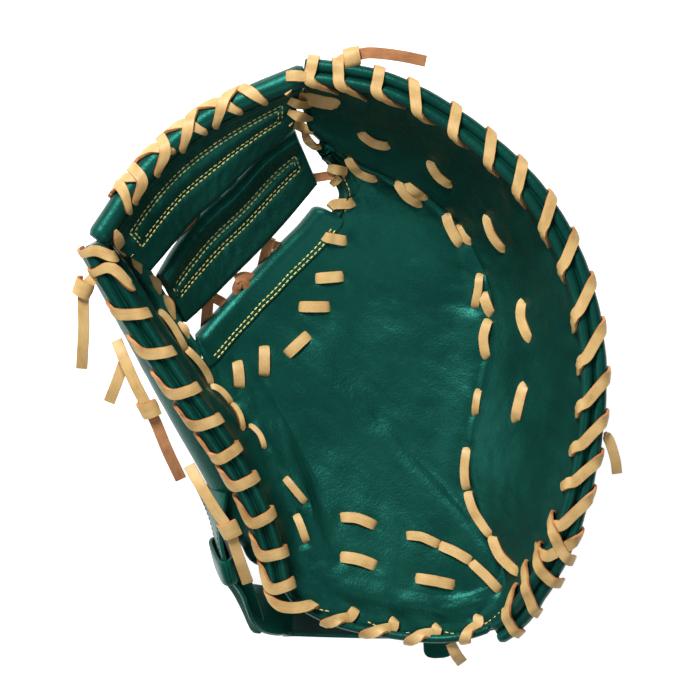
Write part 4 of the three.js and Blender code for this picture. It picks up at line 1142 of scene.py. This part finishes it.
# Places in plan in millimetres, widths as shares of the lace, and the CAD nodes that each stands for.
WEB_TIES = {
    "web_strip_finger": ([(-26.6, 128.6), (-24.2, 128.8), (-21.0, 128.8), (-18.0, 128.4)],
                         (0.9, 1.0, 1.0, 0.8), ()),
    "web_band_finger": ([(-26.4, 122.6), (-18.4, 120.4), (-10.4, 118.5), (-4.6, 117.4), (-2.6, 117.0)],
                        (0.8, 1.25, 1.3, 1.2, 0.7), ("web_tie_finger_1",)),
    "web_under_finger": ([(-26.2, 118.7), (-21.7, 116.8), (-17.2, 116.4)], (0.7, 0.9, 0.6), ()),
    "web_leaf_finger_1": ([(-26.6, 113.3), (-21.2, 111.0), (-16.1, 110.0)], (0.5, 0.95, 0.3),
                          ("web_tie_finger_2",)),
    "web_leaf_finger_2": ([(-25.6, 107.8), (-20.3, 105.3), (-14.7, 103.9)], (0.5, 0.95, 0.4),
                          ("web_tie_finger_3",)),
    "web_loop_finger": ([(-19.8, 104.0), (-17.0, 99.8), (-13.3, 97.6), (-10.4, 97.4)], (0.6, 0.8, 0.8, 0.4),
                        ("web_tie_finger_4",)),
    "web_leaf_thumb_1": ([(-107.7, 57.4), (-106.6, 54.4), (-105.8, 51.0), (-104.0, 44.7)],
                         (0.3, 0.85, 1.0, 0.15),
                         ("web_tie_thumb_1",)),
    "web_leaf_thumb_2": ([(-100.2, 46.1), (-97.9, 42.4), (-96.0, 37.7)], (0.3, 0.85, 0.2),
                         ("web_tie_thumb_2",)),
    "web_leaf_thumb_3": ([(-91.3, 36.7), (-88.5, 32.5), (-87.0, 27.8)], (0.3, 0.8, 0.2),
                         ("web_tie_thumb_3",)),
    "web_leaf_thumb_4": ([(-85.2, 27.3), (-81.4, 23.1), (-80.0, 16.0)], (0.3, 0.85, 0.2),
                         ("web_tie_thumb_4",)),
    "web_leaf_thumb_5": ([(-78.1, 14.2), (-75.3, 11.3), (-73.4, 7.1)], (0.3, 0.7, 0.2), ()),
}
for name, (places, shares, nodes) in WEB_TIES.items():
    bm = new_sheet()
    laid_lace(bm, places, shares)
    finish_piece(name, bm, LACE, nodes, crease=35)

# %% The tie at the lower bar's corner
bm = new_sheet()
corner = bar_face("lower", 0.1, 0.85)[0]
edge = lies_on(-4.5, 84.0, 0.6)[0]
strap(bm, [(corner + UP * -2.5 * MM, -UP, 0.8, 1.0),
           (corner.lerp(edge, 0.35) - UP * 1.0 * MM, -UP, 0.8, 1.0),
           (corner.lerp(edge, 0.75), -UP, 0.8, 1.0), (edge + UP * 0.5 * MM, -UP, 0.7, 1.0)])
laid_lace(bm, [(-5.6, 79.6), (-3.0, 82.0), (-0.4, 84.6)], (0.6, 0.8, 0.5), lift=0.8)
laid_lace(bm, [(-9.2, 86.9), (-4.5, 86.2), (0.2, 85.4)], (0.7, 0.9, 0.7), lift=1.6)
finish_piece("web_corner_tie", bm, LACE, ("web_tie_finger_5",), crease=35)

# %% Laces behind the web
BEHIND = {
    "web_lace_behind_1": ([(-34.6, 54.0, 40), (-37.0, 48.0, 36), (-39.0, 40.0, 31)], 0.9),
    "web_lace_behind_2": ([(-39.5, 52.6, 37), (-33.0, 50.6, 36), (-26.0, 49.0, 33)], 0.8),
    "web_lace_behind_3": ([(-66.0, 27.6, 38), (-59.3, 24.5, 36), (-52.0, 19.6, 33)], 0.9),
    "web_lace_behind_4": ([(-64.3, 26.0, 41), (-65.0, 17.5, 36), (-65.6, 10.0, 33)], 1.0),
    "web_knot_behind": ([(-51.5, 34.5, 40), (-47.5, 36.0, 38), (-43.4, 34.6, 35), (-43.6, 29.8, 33),
                         (-47.2, 26.6, 34),
                         (-51.0, 29.6, 37), (-49.0, 33.4, 39), (-44.8, 30.0, 36)], 0.8),
    "web_zigzag_behind": ([(-44.0, 90.0, 58), (-50.9, 78.8, 54), (-54.6, 82.6, 58), (-59.8, 71.6, 53),
                           (-62.5, 75.0, 58),
                           (-68.7, 62.6, 54), (-70.4, 64.4, 58), (-77.8, 50.3, 56)], 0.7),
}
for name, (places, width) in BEHIND.items():
    bm = new_sheet()
    strap(bm, [(Vector((x, y, z)) * MM, -UP, width, 1.0) for x, y, z in places])
    finish_piece(name, bm, LACE, crease=35)

# %% [markdown]
# ## Knots and tails
#
# Each run of lace ends in a knot outside the rim with a stiff free tail. The knot is a band wound
# once and a half round the lace, which is how such a half hitch looks. The tail is a strap that
# leaves the knot flat and bends a little under its own weight.

# %% Knots and tails
def knot(bm, centre, way, size=(4.0, 2.8), spread=5.2):
    """A band of lace wound one and a half times round the way of the tail."""
    way = way.normalized()
    side = way.cross(UP).normalized()
    top = side.cross(way)
    stops = []
    for step in range(14):
        turn = math.radians(-60 + 45 * step)
        face = side * math.cos(turn) * size[1] + top * math.sin(turn) * size[0]
        around = side * math.cos(turn) * size[0] + top * math.sin(turn) * size[1]
        shift = way * spread * (step / 13 - 0.5)
        stops.append((centre + (around + shift) * MM, face.normalized(), 0.85, 1.0))
    strap(bm, stops, fine=3)


# Each tie: the lace up to the knot, the knot, and the tail, as places in millimetres. The grain side
# faces up where the sign is 1 and down where it is -1.
KNOTS = {
    "tie_finger_top": ([((-3.5, 133.5, 99), (-1.0, 136.4, 100), (3.2, 137.8, 100)), (3.2, 137.8, 99.5),
                        ((4.0, 138.2, 100), (10.5, 139.8, 99.6), (19, 139.4, 98), (28, 138.2, 95.4),
                         (38.0, 136.2, 91.5))], -1),
    "tie_thumb_top": ([((-113.5, 38.0, 92), (-118.5, 33.5, 92), (-122.0, 30.1, 91)), (-122.0, 30.1, 90.5),
                       ((-122.0, 29.5, 90), (-122.2, 23.0, 89), (-122.0, 12.0, 86), (-122.6, 1.5, 82),
                        (-123.2, -7.5, 77))], 1),
    "tie_thumb_middle": ([((-106.8, 5.5, 77), (-103.5, -2.6, 80), (-98.0, -15.0, 80), (-93.4, -24.0, 78)),
                          (-91.7, -26.3, 76.5),
                          ((-91.2, -27.5, 76), (-88.5, -33.0, 74), (-83.5, -45.5, 69),
                           (-77.0, -59.6, 61))], -1),
    "tie_thumb_low": ([((-73.0, -53.4, 62), (-67.0, -63.8, 65), (-60.5, -74.5, 64), (-56.0, -81.0, 62)),
                       (-54.1, -83.1, 60),
                       ((-53.4, -85.0, 60), (-51.8, -90.6, 58), (-48.8, -99.6, 54),
                        (-45.6, -108.8, 48))], 1),
}
for name, ((start, middle, tail), sign) in KNOTS.items():
    bm = new_sheet()
    strap(bm, [(Vector(p) * MM, UP, 1.0, 1.0) for p in start], fine=6)
    strap(bm, [(Vector(p) * MM, UP * sign, 1.0, 1.0) for p in tail], fine=8)
    way = Vector(tail[1]) - Vector(start[-2])
    knot(bm, Vector(middle) * MM, way)
    finish_piece(name + "_lace", bm, LACE, (name,), crease=35)

# %% Short ends
bm = new_sheet()
strap(bm, [(near_rim(7.84, 6.9, -1.0), rim_at(7.84)[2], 0.8, 1.0),
           (near_rim(7.92, 9.4, -1.4), UP, 0.9, 1.0),
           (near_rim(8.12, 13.6, -3.2), UP, 0.9, 1.0), (near_rim(8.26, 15.6, -6.0), UP, 0.9, 1.0)])
finish_piece("finger_side_lace", bm, LACE, ("tie_finger_side",), crease=35)
bm = new_sheet()
strap(bm, [(near_rim(12.10, -1.1, -5.4), UP, 0.9, 1.0), (near_rim(12.05, 4.5, -7.4), UP, 1.0, 1.0),
           (near_rim(12.02, 8.9, -13.0), UP, 1.0, 1.0)])
finish_piece("heel_end_lace", bm, LACE, ("tie_heel",), crease=35)
bm = new_sheet()
strap(bm, [(Vector((-103.0, -3.0, 75)) * MM, UP, 0.9, 1.0),
           (Vector((-106.4, -13.0, 73)) * MM, UP, 1.0, 1.0),
           (Vector((-110.5, -23.4, 68)) * MM, UP, 1.0, 1.0)])
finish_piece("thumb_second_end_lace", bm, LACE, crease=35)

# %% [markdown]
# ## Running laces
#
# Short flat stitches of the same lace hold wall, palm and padding together. Each comes up through a
# hole, lies flat for the width of a finger, and goes down again.

# %% Flat stitches
def flat_stitch(bm, places, width):
    """One stitch that comes up, lies flat and goes down again, along places in plan."""
    line = curve_through([Vector((x, y, 0)) for x, y in places])
    last = len(places) - 1
    stops = []
    for part, lift, share in ((0.0, -1.3, 0.8), (0.06, 0.3, 0.95), (0.22, 0.95, 1), (0.5, 1.15, 1),
                              (0.78, 0.95, 1),
                              (0.94, 0.3, 0.95), (1.0, -1.3, 0.8)):
        spot = line(part * last)
        point, face = lies_on(spot.x, spot.y, lift)
        stops.append((point, face, share * width, 1.0))
    strap(bm, stops, fine=4)


bm = new_sheet()
for places, width in FLAT_STITCHES:
    flat_stitch(bm, places, width)
finish_piece("running_lace", bm, LACE, crease=35)

# %% [markdown]
# ## Thread
#
# The bars, the palm roll and the heel are sewn with yellow thread. Each stitch is a drop of thread
# half sunk in its groove, because a painted dash would look flat at the edge of the web.

# %% Sewn boxes on the bars
bm = new_sheet()
count = 0
for bar, (start, end, high, low) in BOXES.items():
    for inset in (0.0, 1.0):
        first, last = start + 0.09 * inset, end - 0.09 * inset
        rows = steps(first, last, 60)
        count += sew(bm, [bar_top(bar, row, high + inset * line_gap(bar, row)) for row in rows])
        count += sew(bm, [bar_top(bar, row, low - inset * line_gap(bar, row)) for row in rows])
        for row in (first, last):
            gap = inset * line_gap(bar, row)
            count += sew(bm, [bar_top(bar, row, share) for share in steps(high + gap, low - gap, 12)])
finish_piece("web_thread", bm, (thread,))
print("stitches on the web:", count)


# %% Thread along the palm roll, the piping and the heel
def on_palm_edge(row, back_mm):
    """A place on the sewn tongue of the palm roll, back from the palm's edge."""
    line = palm_line(row)
    reach = (line(1.0) - line(0.95)).length / 0.05
    spot = line(1 - back_mm * MM / reach)
    return lies_on(spot.x / MM, spot.y / MM)


bm = new_sheet()
sew(bm, [on_palm_edge(row, 1.4) for row in steps(5.9, 17.4, 150)])
sew(bm, [on_palm_edge(row, 3.3) for row in steps(5.9, 17.4, 150)])
sew(bm, [on_palm_edge(row, 1.6) for row in steps(1.6, 5.0, 60)])
HEEL_SEAMS = [
    [(14.4, 0.03), (14.1, 0.05), (13.8, 0.09)], [(13.3, 0.09), (13.0, 0.04), (12.8, 0.03), (12.6, 0.06)],
    [(12.2, 0.08), (12.0, 0.04), (11.8, 0.05)], [(11.5, 0.06), (11.2, 0.09), (10.9, 0.12), (10.6, 0.10)],
]
for places in HEEL_SEAMS:
    line = curve_through([Vector((row, share, 0)) for row, share in places])
    sew(bm, [palm_face(line(part).x, line(part).y, 0.2) for part in steps(0, len(places) - 1, 20)])
sew(bm, [(back_line(row)(0.07), rim_at(row)[2]) for row in steps(16.2, 19.6, 90)])
finish_piece("body_thread", bm, (thread,))

# %% [markdown]
# ## The wrist
#
# A leather band crosses the back of the hand. It lies flat on the floor and rises outside the thumb,
# where it runs through a keeper and ends in a pull tab. A soft black lining covers its inside, and a
# small tab shows below the heel.

# %% Wrist band table
BAND_ROWS = [
    (-0.254, -0.224, 0.412, 1.4), (-0.240, -0.313, 0.323, 1.05), (-0.214, -0.385, 0.225, 1.05),
    (-0.156, -0.436, 0.125, 0.4), (-0.100, -0.437, 0.000, 0.0), (0.103, -0.441, 0.000, 0.0),
    (0.216, -0.437, 0.000, 0.0), (0.286, -0.424, 0.029, -0.1),
]
BAND_WIDTH, BAND_THICKNESS, LINING_THICKNESS, TAB_THICKNESS = 26 * MM, 2.6 * MM, 1.6 * MM, 2.4 * MM
band_middle = curve_through([place(x, y, z) for x, y, z, turn in BAND_ROWS])
band_turn = curve_through([Vector((turn, 0, 0)) for x, y, z, turn in BAND_ROWS])


def band_at(row, away=0.0):
    """The band's middle moved away along its outer face, the way along, that face and the level way out."""
    def on_band(r):
        point = band_middle(r)
        return Vector((point.x, point.y, max(point.z, 0) + BAND_THICKNESS / 2 + 0.4 * MM))

    along = (on_band(row + 0.1) - on_band(row - 0.1)).normalized()
    out = along.cross(UP).normalized()
    turn = band_turn(row).x * math.pi / 2
    face = out * math.sin(turn) - UP * math.cos(turn)
    return on_band(row) + face * away, along, face, out


# %% Band, lining and tabs
def band_strap(name, rows, away, width, thickness, materials, node_name, shares=None):
    bm = new_sheet()
    stops = []
    for i, row in enumerate(rows):
        point, along, face, out = band_at(row, away[i] if isinstance(away, list) else away)
        stops.append((point, face, shares[i] if shares else 1.0, 1.0))
    strap(bm, stops, width=width, thickness=thickness, fine=4)
    return finish_piece(name, bm, materials, (node_name,), crease=40)


GREEN_STRAP = (deep_green, deep_green, deep_green)
BLACK_STRAP = (lining, lining, lining)
band_strap("wrist_strap", steps(0, 7, 28), 0.0, BAND_WIDTH, BAND_THICKNESS, GREEN_STRAP,
           "wrist_band")
band_strap("wrist_liner", steps(4, 7, 12), -2.7 * MM, BAND_WIDTH - 3.2 * MM, LINING_THICKNESS,
           BLACK_STRAP,
           "wrist_lining")

# The end of the strap hangs out of the keeper and turns its broad face up.
END_PLACES = [(-55.2, -99.0, 37), (-53.2, -104.0, 35), (-48.2, -112.0, 30), (-44.2, -121.0, 23),
              (-42.0, -128.0, 17),
              (-41.4, -131.6, 14), (-41.3, -133.0, 13)]
bm = new_sheet()
stops = []
for (x, y, z), share in zip(END_PLACES, (1.0, 1.0, 0.95, 0.85, 0.75, 0.55, 0.3)):
    stops.append((Vector((x, y, z)) * MM, Vector((-0.35, -0.35, 1.0)), share, 1.0))
strap(bm, stops, width=12 * MM, thickness=TAB_THICKNESS, fine=6)
finish_piece("strap_end", bm, GREEN_STRAP, ("pull_tab",), crease=40)

bm = new_sheet()
point, along, face, out = band_at(1.5)
side = face.cross(along)
loop = []
for step in range(25):
    turn = 2 * math.pi * step / 24
    c, s = math.cos(turn), math.sin(turn)
    wide, high = math.copysign(abs(c) ** 0.55, c), math.copysign(abs(s) ** 0.55, s)
    way = side * c * 0.5 + face * s
    loop.append((point + side * wide * 13.9 * MM + face * high * 3.6 * MM, way.normalized(), 1.0, 1.0))
strap(bm, loop, width=13 * MM, thickness=2 * MM, fine=3)
finish_piece("strap_loop", bm, GREEN_STRAP, ("strap_keeper",), crease=40)

bm = new_sheet()
point, along, face, out = band_at(5.6)
seat = Vector((point.x, point.y, TAB_THICKNESS / 2))
reach = [12.0, 15.0, 18.5, 20.8, 22.0, 22.6]
strap(bm, [(seat + out * r * MM, UP, share, 1.0) for r, share in zip(reach, (1, 1, 1, 0.9, 0.7, 0.35))],
      width=14 * MM, thickness=TAB_THICKNESS)
finish_piece("heel_loop", bm, GREEN_STRAP, ("heel_tab",), crease=40)

# %% Thread of the wrist band
green_thread = thread_material("green_thread", (0.01, 0.09, 0.07), (0.03, 0.16, 0.12))
bm = new_sheet()
for edge in (-10.6, 10.6):
    seam = []
    for row in steps(0.1, 6.9, 160):
        point, along, face, out = band_at(row, BAND_THICKNESS / 2)
        seam.append((point + along.cross(face) * edge * MM, face))
    sew(bm, seam)
finish_piece("band_thread", bm, (green_thread,))

# %% [markdown]
# ## The end of the lesson
#
# Last comes the pale floor under the mitt.

# %% Floor
bm = new_sheet()
bmesh.ops.create_grid(bm, x_segments=1, y_segments=1, size=2.0)
floor_mesh = bpy.data.meshes.new("floor")
bm.to_mesh(floor_mesh)
bm.free()
floor = bpy.data.objects.new("floor", floor_mesh)
bpy.context.scene.collection.objects.link(floor)
paper, tree, shader, where = start_material("white_paper", 0.9, 0.2)
shader.inputs["Base Color"].default_value = (0.6, 0.6, 0.6, 1)
shader.inputs["Emission Color"].default_value = (1, 1, 1, 1)
shader.inputs["Emission Strength"].default_value = 0.85
floor_mesh.materials.append(paper)
